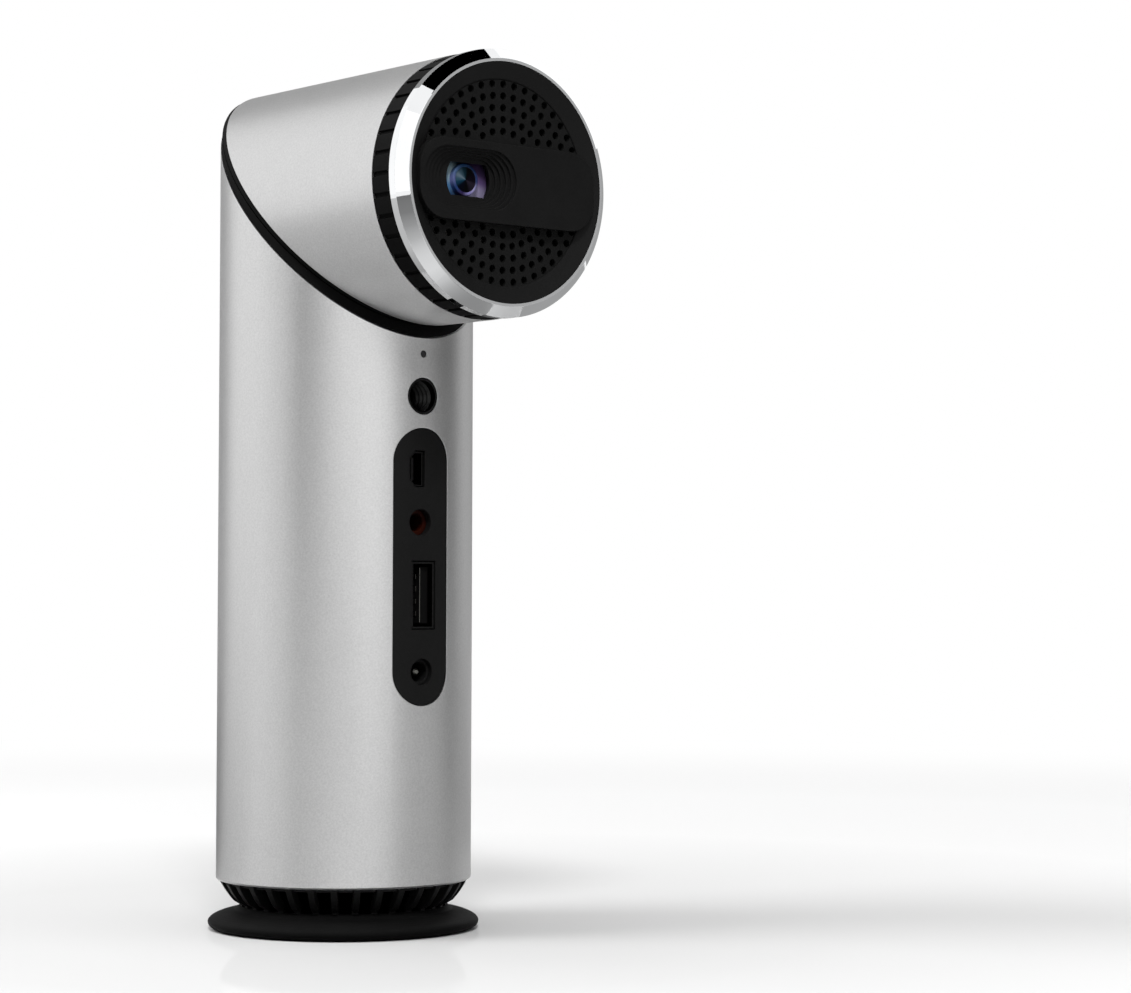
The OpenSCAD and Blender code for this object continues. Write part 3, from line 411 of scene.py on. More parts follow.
# The foot's own duller black; on the fan frame and the USB tongue, which lie deep, it is painted
# shade.
FOOT_BLACK_AND_PAINTED_SHADE = grained("foot_black_and_painted_shade", grey(0.006), grey(0.0085), 0.5, 0.6, 3000.0, level=0.03,
                     edge=0.3 * MM, strength=0.1)
DARK_PLASTIC = grained("dark_plastic", grey(0.012), grey(0.022), 0.45, 0.6, 2500.0, level=0.3)
RUBBER = grained("rubber_pad", grey(0.018), grey(0.032), 0.7, 0.85, 2600.0, level=0.2, strength=0.3)
JACK = grained("jack_plastic", (0.022, 0.0035, 0.0018, 1), (0.04, 0.007, 0.003, 1), 0.4, 0.5,
               2500.0, level=0.08)
CREAM = (1, 0.98, 0.92)
PALE = grained("pale_plastic", grey(0.52, CREAM), grey(0.62, CREAM), 0.35, 0.45, 2500.0)
SMOKED = grained("smoked_pipe", grey(0.05), grey(0.07), 0.3, 0.4, 1500.0, level=0.3)
print("plastics:", BLACK.name, RING_BLACK_PAINTED_SHADE.name, FOOT_BLACK_AND_PAINTED_SHADE.name, RUBBER.name)

# %% Black of the vent
# Painted shade of the vent: inward of these radii the black turns dead black and loses its shine.
VENT_DEPTH = (20.2 * MM, 21.2 * MM)  # radii between which the black comes up
VENT_LEVEL = 0.1
PAINTED_SHADE_BLACK = 0.0008


def make_vent_black():
    """The black of the ribs, with painted shade that turns it dead black where the cage lies deep
    inside.
    """
    material = grained("vent_black", grey(0.0095), grey(0.014), 0.42, 0.52, 3200.0,
                       edge=0.25 * MM, strength=0.12)
    tree = material.node_tree
    shader = tree.nodes["Principled BSDF"]
    place = split(tree, coordinates(tree))
    # Painted shade: toward the centre line the colour goes to dead black and the shine to nothing.
    out_of_painted_shade = spread(tree, radius_of(tree, place["X"], place["Y"]), *VENT_DEPTH, 0.0, 1.0)
    colour = shader.inputs["Base Color"].links[0].from_socket
    colour = mix_colours(tree, out_of_painted_shade, grey(PAINTED_SHADE_BLACK), colour)
    link(tree, colour, shader.inputs["Base Color"])
    shine = spread(tree, out_of_painted_shade, 0.0, 1.0, 0.0, VENT_LEVEL)
    link(tree, shine, shader.inputs["Specular IOR Level"])
    return material


VENT_BLACK_WITH_PAINTED_SHADE = make_vent_black()
print(VENT_BLACK_WITH_PAINTED_SHADE.name)

# %% [markdown]
# ## Polished bezel
# The cone in front of the focus ring is plated and polished, so it works as a mirror: what it
# shows is the studio. Its own character is only a faint smear in the gloss.

# %% Chrome
COOL = (0.99, 1, 1.01)


def make_chrome():
    material, tree, shader = new_material("polished_chrome")
    smear = place_group(tree, HANDLING_SMEAR, Scale=70.0, Clean=0.02, Smeared=0.06).outputs
    edges = place_group(tree, SOFT_EDGE, Radius=0.04 * MM).outputs
    tint = mix_colours(tree, smear["Mask"], grey(0.9, COOL), grey(0.86, COOL))
    link(tree, tint, shader.inputs["Base Color"])
    link(tree, smear["Roughness"], shader.inputs["Roughness"])
    link(tree, edges["Normal"], shader.inputs["Normal"])
    shader.inputs["Metallic"].default_value = 1.0
    return material


CHROME = make_chrome()
print(CHROME.name)

# %% [markdown]
# ## Spun buttons
# Each button's face is turned on a lathe, so its light falls into two opposite wedges, while
# the bevel round it is cut bright. The wedges come from an anisotropic shader whose tangent
# runs round the button, the fine rings from the lathe group, and a mask by the face's own
# direction keeps the bevel smooth.

# %% Spun metal
def make_spun():
    material, tree, shader = new_material("spun_metal")
    rings = place_group(tree, LATHE_RINGS, Rings=34.0).outputs["Height"]
    facing = split(tree, coordinates(tree, "Normal"))
    face = spread(tree, facing["Y"], 0.9, 0.97, 0.0, 1.0)
    link(tree, spread(tree, face, 0.0, 1.0, 0.08, 0.3), shader.inputs["Roughness"])
    link(tree, mix_colours(tree, rings, grey(0.66), grey(0.78)), shader.inputs["Base Color"])
    height = math_node(tree, "MULTIPLY", rings, face)
    link(tree, bump(tree, height, None, 0.25, 0.03 * MM), shader.inputs["Normal"])
    tangent = add_node(tree, "ShaderNodeTangent", direction_type="RADIAL", axis="Y")
    link(tree, tangent.outputs[0], shader.inputs["Tangent"])
    shader.inputs["Metallic"].default_value = 1.0
    shader.inputs["Anisotropic"].default_value = 0.8
    return material


SPUN = make_spun()
print(SPUN.name)

# %% [markdown]
# ## Metals inside
# Screws and the pivot are plated steel, the tripod insert and the socket shells are blackened
# steel, and the light engine is die-cast alloy. They are the same grained finish with other
# colours, coarser for the casting. The contacts in the sockets have a dull plating.

# %% Steel and alloy
STEEL = grained("steel", grey(0.5), grey(0.66), 0.22, 0.34, 1800.0, metallic=1.0, strength=0.1)
DARK_STEEL = grained("dark_steel", grey(0.012), grey(0.03), 0.28, 0.42, 1500.0, metallic=1.0,
                     strength=0.2)
ALLOY = grained("engine_alloy", grey(0.24), grey(0.36), 0.45, 0.6, 900.0, metallic=1.0,
                strength=0.4, depth=0.1 * MM)
PLATING = grained("contact_plating", (0.16, 0.16, 0.15, 1), (0.22, 0.22, 0.2, 1), 0.25, 0.35,
                  2500.0, metallic=1.0)
print("metals:", STEEL.name, DARK_STEEL.name, ALLOY.name, PLATING.name)

# %% [markdown]
# ## Boards, cells and cable
# The boards carry solder resist over a pattern of tracks, the cells a shrink sleeve, and the
# cable a braided sleeve. They sit inside the tube and show only when it is taken apart. The
# tracks are a brick pattern, and the braid is two crossed waves.

# %% Board, cell sleeve and braid
def tilted(tree, turns):
    """Object coordinates turned by three angles in degrees."""
    node = add_node(tree, "ShaderNodeMapping")
    node.inputs["Rotation"].default_value = [math.radians(turn) for turn in turns]
    link(tree, coordinates(tree), node.inputs[0])
    return node.outputs[0]


def make_board():
    material, tree, shader = new_material("circuit_board")
    tracks = add_node(tree, "ShaderNodeTexBrick")
    tracks.inputs["Scale"].default_value = 220.0
    tracks.inputs["Mortar Size"].default_value = 0.035
    tracks.inputs["Color1"].default_value = (0.006, 0.075, 0.03, 1)
    tracks.inputs["Color2"].default_value = (0.008, 0.095, 0.04, 1)
    tracks.inputs["Mortar"].default_value = (0.02, 0.16, 0.07, 1)
    link(tree, tilted(tree, (90, 0, 0)), tracks.inputs["Vector"])
    link(tree, tracks.outputs["Color"], shader.inputs["Base Color"])
    grain = place_group(tree, FINE_GRAIN, Scale=1200.0, Smooth=0.22, Rough=0.36).outputs
    link(tree, grain["Roughness"], shader.inputs["Roughness"])
    height = bump(tree, tracks.outputs["Fac"], None, 0.4, 0.05 * MM)
    link(tree, height, shader.inputs["Normal"])
    return material


def make_braid():
    material, tree, shader = new_material("cable_sleeve")
    waves = []
    for turn in (40, -40):
        wave = add_node(tree, "ShaderNodeTexWave")
        wave.inputs["Scale"].default_value = 400.0
        link(tree, tilted(tree, (turn, turn, 0)), wave.inputs["Vector"])
        waves.append(wave.outputs["Fac"])
    weave = math_node(tree, "MAXIMUM", *waves)
    link(tree, mix_colours(tree, weave, grey(0.008), grey(0.03)), shader.inputs["Base Color"])
    link(tree, spread(tree, weave, 0.0, 1.0, 0.8, 0.5), shader.inputs["Roughness"])
    link(tree, bump(tree, weave, None, 0.6, 0.2 * MM), shader.inputs["Normal"])
    return material


BOARD, BRAID = make_board(), make_braid()
SLEEVE = grained("cell_wrap", (0.012, 0.06, 0.2, 1), (0.02, 0.085, 0.26, 1), 0.2, 0.3, 700.0)
IVORY = (1, 0.97, 0.85)
CERAMIC = grained("led_ceramic", grey(0.6, IVORY), grey(0.7, IVORY), 0.4, 0.5, 2000.0)
print("inside:", BOARD.name, BRAID.name, SLEEVE.name, CERAMIC.name)

# %% [markdown]
# ## Glass
# The prism and the inner lenses are clear glass. Transmission stays a plain number on the
# shader, and only the gloss varies, with the faint smear group.

# %% Optical glass
def make_glass():
    material, tree, shader = new_material("optical_glass")
    smear = place_group(tree, HANDLING_SMEAR, Scale=150.0, Clean=0.01, Smeared=0.04).outputs
    link(tree, smear["Roughness"], shader.inputs["Roughness"])
    shader.inputs["Base Color"].default_value = (0.86, 0.93, 0.97, 1)
    shader.inputs["Transmission Weight"].default_value = 1.0
    shader.inputs["IOR"].default_value = 1.52
    return material


GLASS = make_glass()
print(GLASS.name)

# %% [markdown]
# ## Dress the CAD nodes
# Each node takes the finish of its material slot in the record. A few have a finish of their
# own: the three rings, in a darker, duller black that is painted shade, the foot in its own
# duller black, the fan frame and the USB tongue, which lie deep and take that black as painted
# shade, the vent with painted shade deep inside, the blackened screws under the foot and the
# plated pin of the power inlet.

# %% Assign the finishes
FINISH = {
    "silver_anodised": SILVER, "spun_metal": SPUN, "polished_chrome": CHROME,
    "black_plastic": BLACK, "dark_plastic": DARK_PLASTIC, "rubber_pad": RUBBER, "steel": STEEL,
    "dark_steel": DARK_STEEL, "jack_plastic": JACK, "pale_plastic": PALE, "circuit_board": BOARD,
    "cell_wrap": SLEEVE, "cable_sleeve": BRAID, "engine_alloy": ALLOY, "led_ceramic": CERAMIC,
    "optical_glass": GLASS, "coated_glass": GLASS, "smoked_pipe": SMOKED,
}
OWN_FINISH = {
    "focus_ring": RING_BLACK_PAINTED_SHADE, "body_joint_ring": RING_BLACK_PAINTED_SHADE, "head_joint_ring": RING_BLACK_PAINTED_SHADE,
    "base_foot": FOOT_BLACK_AND_PAINTED_SHADE, "vent_cage": VENT_BLACK_WITH_PAINTED_SHADE, "usb_tongue": FOOT_BLACK_AND_PAINTED_SHADE,
    "fan_frame": FOOT_BLACK_AND_PAINTED_SHADE, "base_screws": DARK_STEEL, "dc_pin": PLATING,
}
for part in frame["record"]["subparts"]:
    name = part["node"]
    nodes[name].data.materials.clear()
    nodes[name].data.materials.append(OWN_FINISH.get(name, FINISH[part["material_slot"]]))

# %% [markdown]
# ## The projection lens
# Through the window the lens shows a black pupil with a blue rim and, round it, a pale arc on
# the left and a lavender one on the right: the tints of its coatings, whose bright and dark
# stretches, and the bright wedge on the pupil, are painted reflection. The CAD lens is a
# plain dome, so it is replaced by one turned from a finer outline, whose middle stands a little
# forward as the front glass of a lens group does, with the pupil let into it and a bead round
# it. The coating colour, painted highlights included, runs round the lens by angle, and a clear
# coat makes the glassy shine.

# %% Helpers for added pieces
def close_mesh(name, made):
    """Turns the faces of a bmesh outward and hands it over as a mesh."""
    bmesh.ops.recalc_face_normals(made, faces=made.faces)
    mesh = bpy.data.meshes.new(name)
    made.to_mesh(mesh)
    made.free()
    return mesh


def new_piece(name, mesh, material, body):
    piece = add_object(name, mesh)
    mesh.materials.append(material)
    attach(piece, body)
    return piece


def ring_point(r, forward, turn):
    return (r * math.sin(turn), -forward, r * math.cos(turn))


def turned(name, outline, steps, zones=None):
    """A closed body turned about the Y axis from (radius, forward) points in metres."""
    made = bmesh.new()
    rings = []
    for r, forward in outline:
        if r < 1e-7:
            rings.append([made.verts.new((0, -forward, 0))] * steps)
        else:
            rings.append([made.verts.new(ring_point(r, forward, 2 * math.pi * k / steps))
                          for k in range(steps)])
    for i, (a, b) in enumerate(zip(rings, rings[1:] + rings[:1])):
        for k in range(steps):
            n = (k + 1) % steps
            corners = [a[k], a[n], b[n], b[k]]
            corners = [v for j, v in enumerate(corners) if v not in corners[:j]]
            if len(corners) > 2:
                face = made.faces.new(corners)
                face.material_index = zones[i] if zones else 0
                face.smooth = True
    return close_mesh(name, made)


print("piece helpers ready")

# %% Coating builder
def make_coating_with_painted_reflection(name, stops, roughness, coat, level):
    """A coated glass zone: its tint, with painted highlights and dark bands, runs round the lens,
    from 3 o'clock by 12, 9 and 6.
    """
    material, tree, shader = new_material(name)
    place = split(tree, coordinates(tree))
    flat = add_node(tree, "ShaderNodeCombineXYZ")
    link(tree, math_node(tree, "MULTIPLY", place["X"], -1.0), flat.inputs["X"])
    link(tree, math_node(tree, "MULTIPLY", place["Z"], -1.0), flat.inputs["Y"])
    sweep = add_node(tree, "ShaderNodeTexGradient", gradient_type="RADIAL")
    link(tree, flat.outputs[0], sweep.inputs[0])
    opaque = [(where, (*colour, 1)) for where, colour in stops]
    colour = colour_ramp(tree, sweep.outputs["Fac"], opaque, "EASE")
    link(tree, colour, shader.inputs["Base Color"])
    smear = place_group(tree, HANDLING_SMEAR, Scale=400.0, Clean=roughness,
                        Smeared=roughness + 0.05).outputs
    link(tree, smear["Roughness"], shader.inputs["Roughness"])
    shader.inputs["Specular IOR Level"].default_value = level
    shader.inputs["Coat Weight"].default_value = coat
    shader.inputs["Coat Roughness"].default_value = 0.02
    return material


print("coating builder ready")

# %% Coatings, with painted reflection
COATING_WITH_PAINTED_REFLECTION = make_coating_with_painted_reflection("lens_coating_painted_reflection", [
    (0.0, (0.205, 0.128, 0.341)), (0.1, (0.086, 0.047, 0.145)), (0.2, (0.031, 0.018, 0.059)),
    (0.3, (0.018, 0.043, 0.077)), (0.4, (0.461, 0.648, 0.716)), (0.48, (0.375, 0.563, 0.682)),
    (0.56, (0.086, 0.239, 0.477)), (0.64, (0.025, 0.077, 0.188)), (0.74, (0.034, 0.025, 0.086)),
    (0.84, (0.682, 0.648, 0.955)), (0.93, (0.512, 0.461, 0.716)), (1.0, (0.205, 0.128, 0.341)),
], roughness=0.2, coat=0.1, level=0.2)
# The pupil's bright wedge is a painted highlight on near-black glass.
PUPIL_WITH_PAINTED_HIGHLIGHT = make_coating_with_painted_reflection("lens_pupil_painted_highlight", [
    (0.0, (0.006, 0.004, 0.009)), (0.2, (0.003, 0.003, 0.004)), (0.28, (0.007, 0.026, 0.041)),
    (0.36, (0.048, 0.094, 0.131)), (0.43, (0.15, 0.216, 0.281)), (0.5, (0.048, 0.112, 0.169)),
    (0.55, (0.009, 0.048, 0.094)), (0.62, (0.003, 0.004, 0.011)), (0.78, (0.003, 0.003, 0.004)),
    (0.87, (0.02, 0.016, 0.028)), (0.93, (0.026, 0.02, 0.034)), (1.0, (0.006, 0.004, 0.009)),
], roughness=0.15, coat=0.0, level=0.02)
# The rim is blue, and its brighter stretches are painted highlights.
LENS_RIM_WITH_PAINTED_HIGHLIGHT = make_coating_with_painted_reflection("lens_rim_painted_highlight", [
    (0.0, (0.036, 0.057, 0.186)), (0.15, (0.011, 0.029, 0.1)), (0.28, (0.014, 0.064, 0.186)),
    (0.4, (0.086, 0.157, 0.315)), (0.5, (0.143, 0.172, 0.4)), (0.6, (0.021, 0.057, 0.2)),
    (0.7, (0.036, 0.021, 0.1)), (0.8, (0.315, 0.286, 0.643)), (0.88, (0.429, 0.4, 0.715)),
    (1.0, (0.036, 0.057, 0.186)),
], roughness=0.25, coat=0.05, level=0.1)
print("coatings:", COATING_WITH_PAINTED_REFLECTION.name, PUPIL_WITH_PAINTED_HIGHLIGHT.name, LENS_RIM_WITH_PAINTED_HIGHLIGHT.name)

# %% Lens outline
low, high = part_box("front_lens")
LENS_R = (high.x - low.x) / 2
LENS_BACK, LENS_FRONT = -high.y, -low.y
DOME = 24.0 * MM
PUPIL_R = 2.75 * MM
BEAD = 0.33 * MM
BEAD_RISE = 0.09 * MM
RAISE = 0.85 * MM  # how far the middle stands forward
LET_IN = 0.12 * MM  # how deep the pupil lies in it
BELOW = 0.1 * MM  # how far the glass keeps behind the CAD dome
STEP = 0.05 * MM  # the width of the step from the middle down to the glass
GLASS_ZONE, PUPIL_ZONE, BEAD_ZONE = 0, 1, 2
lens_centre = Vector(((low.x + high.x) / 2, 0, (low.z + high.z) / 2))


def lens_outline():
    """Points (radius, forward) from the middle out to the back, and the material of each band."""
    points, zones = [], []

    def add(r, forward, zone):
        points.append((r, forward - DOME + math.sqrt(DOME * DOME - r * r)))
        zones.append(zone)

    inner, outer = PUPIL_R - BEAD, PUPIL_R + BEAD
    crown = LENS_FRONT + RAISE
    for i in range(9):
        add(inner * i / 8, crown - LET_IN, PUPIL_ZONE)
    for i in range(1, 6):
        a = math.pi * i / 6
        add(PUPIL_R - BEAD * math.cos(a), crown - BELOW + BEAD_RISE * math.sin(a), BEAD_ZONE)
    add(outer, crown - LET_IN, BEAD_ZONE)
    for i in range(9):
        add(outer + STEP + (LENS_R - outer - STEP) * i / 8, LENS_FRONT - BELOW, GLASS_ZONE)
    return points + [(LENS_R, LENS_BACK), (0, LENS_BACK)], zones + [GLASS_ZONE, GLASS_ZONE]


print("lens diameter in mm", round(2 * LENS_R / MM, 2))

# %% Lens piece
outline, zones = lens_outline()
lens_mesh = turned("coated_lens", outline, 96, zones)
lens = add_object("coated_lens", lens_mesh)
for zone_material in (COATING_WITH_PAINTED_REFLECTION, PUPIL_WITH_PAINTED_HIGHLIGHT, LENS_RIM_WITH_PAINTED_HIGHLIGHT):
    lens_mesh.materials.append(zone_material)
lens.location = lens_centre
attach(lens, "lens")
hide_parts("front_lens")
print("lens faces", len(lens_mesh.polygons))

# %% [markdown]
# ## The rim of the face
# The perforated face lies a little behind the bezel's lip, and outside the last row of holes
# its black moulding slopes up to that lip, so the face is a shallow dish. The CAD face is a
# flat disc, so the slope is turned here from a small outline and laid on the disc.

# %% Face rim
low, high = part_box("front_grille")
face_r, face_front = (high.x - low.x) / 2, -low.y
lip_front = -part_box("bezel_ring")[0].y
RIM_START = 19.9 * MM
SINK = 0.02 * MM
rim_out = face_r + 0.09 * MM
rim_outline = [
    (RIM_START, face_front - SINK),
    (RIM_START + 0.25 * MM, face_front + 0.06 * MM),
    (rim_out - 0.15 * MM, lip_front - 0.12 * MM),
    (rim_out, lip_front - 0.08 * MM),
    (rim_out, face_front + SINK),
    (face_r, face_front - SINK),
]
rim = new_piece("face_rim", turned("face_rim", rim_outline, 128), BLACK, "head")
rim.location = Vector((0, 0, (low.z + high.z) / 2))
depth = round((lip_front - face_front) / MM, 2)
print("face rim faces", len(rim.data.polygons), "depth in mm", depth)

# %% [markdown]
# ## The tripod thread
# The socket under the head takes a quarter-inch tripod screw. The CAD insert is a plain bore of
# that size, so the visible thread is a ridge swept along a helix inside it: 20 turns to the
# inch, with a triangular crest. It can be cut, displaced or swept, and the sweep gives clean
# faces.

# %% Tripod thread
PITCH_LENGTH = 25.4 / 20 * MM
BORE_R, CREST_R = 3.2 * MM, 2.68 * MM
ROOT_R = BORE_R + 0.05 * MM
ROOT_HALF, CREST_HALF = 0.46, 0.07
TURN_STEPS, EASE_STEPS = 40, 14
low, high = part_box("tripod_insert")
thread_z = (low.z + high.z) / 2
thread_front, thread_back = -low.y - 0.5 * MM, -high.y + 0.4 * MM


def thread_section(made, i, steps):
    """Four corners of the ridge at one step; the ridge grows and dies over its end steps."""
    angle = 2 * math.pi * i / TURN_STEPS
    ease = min(1.0, i / EASE_STEPS, (steps - i) / EASE_STEPS)
    crest = BORE_R - (BORE_R - CREST_R) * ease
    forward = thread_back + PITCH_LENGTH * (0.5 + i / TURN_STEPS)
    corners = [(ROOT_R, -ROOT_HALF), (crest, -CREST_HALF), (crest, CREST_HALF), (ROOT_R, ROOT_HALF)]
    return [made.verts.new((r * math.sin(angle), -(forward + share * PITCH_LENGTH),
                            thread_z + r * math.cos(angle))) for r, share in corners]


def thread_mesh():
    made = bmesh.new()
    steps = int(((thread_front - thread_back) / PITCH_LENGTH - 1) * TURN_STEPS)
    sections = [thread_section(made, i, steps) for i in range(steps + 1)]
    for a, b in zip(sections, sections[1:]):
        for k in range(4):
            made.faces.new((a[k], a[(k + 1) % 4], b[(k + 1) % 4], b[k]))
    made.faces.new(sections[0])
    made.faces.new(sections[-1])
    return close_mesh("tripod_thread", made)


thread = new_piece("tripod_thread", thread_mesh(), DARK_STEEL, "body")
print("thread faces", len(thread.data.polygons))

# %% [markdown]
# ## Signs beside the buttons
# Under each button a small dark sign is printed on the tube: bars for the menu, OK, four arrow
# heads and the power sign. They could be a texture, but then they would blur close up. Here each
# sign is a flat outline, cut into narrow strips, wrapped on the tube's radius and given the
# thickness of a coat of ink.

# %% Sign shapes
def bar(x0, x1, y0, y1):
    return [(x0, y0), (x1, y0), (x1, y1), (x0, y1)]


def arc_strip(r0, r1, start, stop, steps=32):
    """Quads of a ring sector; angles in degrees, counted from 12 o'clock to the right."""
    quads = []
    for i in range(steps):
        a, b = (math.radians(start + (stop - start) * k / steps) for k in (i, i + 1))
        quads.append([(r * math.sin(turn), r * math.cos(turn))
                      for r, turn in ((r0, a), (r1, a), (r1, b), (r0, b))])
    return quads


def arrow_head(turn):
    """An arrow head with a notched base, pointing up, then turned clockwise by that angle."""
    halves = [[(0, 1.0), (0, -0.42), (-0.95, -0.85)], [(0, 1.0), (0.95, -0.85), (0, -0.42)]]
    c, s = math.cos(math.radians(turn)), math.sin(math.radians(turn))
    return [[(x * c + y * s, y * c - x * s) for x, y in half] for half in halves]


STROKE = 0.26
LETTER_H = 0.78
BAR_HALF_W, BAR_HALF_H = 1.25, 0.11
letter_o = [[(x - LETTER_H, y) for x, y in quad]
            for quad in arc_strip(LETTER_H - STROKE, LETTER_H, 0, 360)]
letter_k = [
    bar(0.2, 0.2 + STROKE, -LETTER_H, LETTER_H),
    [(0.46, -0.12), (0.46, 0.2), (1.1, LETTER_H), (1.45, LETTER_H)],
    [(0.62, 0.12), (0.85, 0.3), (1.5, -LETTER_H), (1.15, -LETTER_H)],
]
SIGNS = {
    "menu": [bar(-BAR_HALF_W, BAR_HALF_W, y - BAR_HALF_H, y + BAR_HALF_H)
             for y in (0.84, 0.28, -0.28, -0.84)],
    "ok": letter_o + letter_k,
    "up": arrow_head(0),
    "down": arrow_head(180),
    "left": arrow_head(270),
    "right": arrow_head(90),
    "power": arc_strip(0.92, 1.16, 32, 328) + [bar(-0.12, 0.12, 0.1, 1.3)],
}
print("signs:", ", ".join(SIGNS))

# %% Printed signs
TUBE_R = 26.0 * MM
INK = 0.02 * MM
INK_BLACK = grained("sign_ink", grey(0.018), grey(0.03), 0.5, 0.65, 4000.0, level=0.25,
                    edge=0.02 * MM, strength=0.05)
BUTTON_TO_SIGN = 4.85 * MM
STRIP, STRIPS_EACH_SIDE = 0.25, 8


def sign_mesh(name, shapes, z):
    """Wraps flat shapes, in mm, on the back of the tube, and gives them the ink's thickness."""
    made = bmesh.new()
    for shape in shapes:
        made.faces.new([made.verts.new((x, y, 0)) for x, y in shape])
    for i in range(-STRIPS_EACH_SIDE, STRIPS_EACH_SIDE + 1):
        whole = made.verts[:] + made.edges[:] + made.faces[:]
        cut_at = (i * STRIP, 0, 0)
        bmesh.ops.bisect_plane(made, geom=whole, plane_co=cut_at, plane_no=(1, 0, 0))
    bmesh.ops.recalc_face_normals(made, faces=made.faces)
    for face in made.faces:
        if face.normal.z < 0:
            face.normal_flip()
    raised = bmesh.ops.extrude_face_region(made, geom=made.faces[:])
    top = {v for v in raised["geom"] if isinstance(v, bmesh.types.BMVert)}
    for v in made.verts:
        r = TUBE_R + (INK if v in top else -INK)
        turn = v.co.x * MM / TUBE_R
        v.co = Vector((-r * math.sin(turn), r * math.cos(turn), z + v.co.y * MM))
    return close_mesh(name, made)


for key, shapes in SIGNS.items():
    name = "sign_" + key
    low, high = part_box(key + "_button")
    sign_z = (low.z + high.z) / 2 - BUTTON_TO_SIGN
    new_piece(name, sign_mesh(name, shapes, sign_z), INK_BLACK, "body")
print("printed", len(SIGNS), "signs")

# %% [markdown]
# ## Contacts in the USB socket
# On the tongue's left edge the plated contacts catch the light as a bright upright line. The
# CAD tongue is a plain block, so a folded contact strip with four tails is added on it.

# %% USB contacts
PLATE = 0.08 * MM
INSET = 0.25 * MM
TAIL_FROM, TAIL_TO, TAIL_HALF = 1.2 * MM, 7 * MM, 0.5 * MM
CONTACT_SPACES = 4.6
BOX_SIDES = ((0, 1, 3, 2), (4, 6, 7, 5), (0, 4, 5, 1), (2, 3, 7, 6), (0, 2, 6, 4), (1, 5, 7, 3))
low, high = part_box("usb_tongue")


def add_box(made, xs, ys, zs):
    corners = [made.verts.new((x, y, z)) for x in xs for y in ys for z in zs]
    for sides in BOX_SIDES:
        made.faces.new([corners[k] for k in sides])


def contact_mesh():
    made = bmesh.new()
    left = low.x - PLATE
    add_box(made, (left, low.x + PLATE), (low.y - PLATE, low.y), (low.z + INSET, high.z - INSET))
    pitch = (high.z - low.z) / CONTACT_SPACES
    middle = (low.z + high.z) / 2
    for i in (-1.5, -0.5, 0.5, 1.5):
        z = middle + i * pitch
        depths = (low.y + TAIL_FROM, low.y + TAIL_TO)
        add_box(made, (left, low.x), depths, (z - TAIL_HALF, z + TAIL_HALF))
    return close_mesh("usb_contacts", made)


contacts = new_piece("usb_contacts", contact_mesh(), PLATING, "body")
print("contact faces", len(contacts.data.polygons))

# %% [markdown]
# ## The floor
# The object stands on a plain pale table that fades to white. For the camera the near floor is
# bright, a little darker close to the object as painted shade, and takes the shadow and a faint
# mirror image, and further out it turns to plain white, so no horizon shows. A mirrored ray sees
# a duller table, and light that bounces off it is dimmer still, which keeps the shade under the
# rings and the head as deep as a real one.

# %% Floor
FLOOR_PLAIN, FLOOR_MIRRORED = 0.14, 0.5  # for bounced light, and in mirrors
# Near the object the camera sees the floor darker: painted shade.
FLOOR_NEAR_PAINTED_SHADE, FLOOR_WHITE = 0.73, 0.88  # for the camera, near and far
FLOOR_NEAR = (0.08, 0.4)  # distances in metres between which it turns from one to the other
FLOOR_GLOSS, FLOOR_BLUR = 0.2, 0.05  # share and roughness of the mirror image
FLOOR_SHINE = (0.1, 0.24)  # distances over which the mirror image dies away
FLOOR_FADE = (0.2, 0.75)  # distances over which the floor turns to plain white
FLOOR_REACH = 12.0


def ray_kinds(tree):
    """Two masks: rays from the camera, and all rays that end in a picture of what they meet."""
    rays = add_node(tree, "ShaderNodeLightPath").outputs
    mirrored = math_node(tree, "MAXIMUM", rays["Is Glossy Ray"], rays["Is Transmission Ray"])
    return rays["Is Camera Ray"], math_node(tree, "MAXIMUM", rays["Is Camera Ray"], mirrored)


def make_floor_material():
    material, tree, surface = bare_material("studio_floor")
    direct, seen = ray_kinds(tree)
    away = distance(tree)
    outward = spread(tree, away, *FLOOR_NEAR, 0.0, 1.0)
    # Painted shade: the floor is darker for the camera close to the object.
    pale = mix_colours(tree, outward, grey(FLOOR_NEAR_PAINTED_SHADE), grey(FLOOR_WHITE))
    shown = mix_colours(tree, direct, grey(FLOOR_MIRRORED), pale)
    paint = tree.nodes.new("ShaderNodeBsdfDiffuse")
    link(tree, mix_colours(tree, seen, grey(FLOOR_PLAIN), shown), paint.inputs["Color"])
    gloss = tree.nodes.new("ShaderNodeBsdfGlossy")
    gloss.inputs["Color"].default_value = grey(1.0)
    gloss.inputs["Roughness"].default_value = FLOOR_BLUR
    share = spread(tree, away, *FLOOR_SHINE, FLOOR_GLOSS, 0.0)
    share = math_node(tree, "MULTIPLY", share, direct)
    near = mix_shaders(tree, share, paint.outputs[0], gloss.outputs[0])
    white = tree.nodes.new("ShaderNodeEmission")
    white.inputs["Strength"].default_value = 1.0
    far = add_node(tree, "ShaderNodeMapRange", interpolation_type="SMOOTHERSTEP")
    far.inputs["From Min"].default_value, far.inputs["From Max"].default_value = FLOOR_FADE
    link(tree, away, far.inputs["Value"])
    fade = math_node(tree, "MULTIPLY", far.outputs["Result"], seen)
    link(tree, mix_shaders(tree, fade, near, white.outputs[0]), surface)
    return material


floor_mesh = bpy.data.meshes.new("floor")
floor_corners = [(x * FLOOR_REACH, y * FLOOR_REACH, 0)
                 for x, y in ((-1, -1), (1, -1), (1, 1), (-1, 1))]
floor_mesh.from_pydata(floor_corners, [], [(0, 1, 2, 3)])
floor = add_object("floor", floor_mesh)
floor_mesh.materials.append(make_floor_material())
floor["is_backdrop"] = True
print("floor reach", FLOOR_REACH, "m")

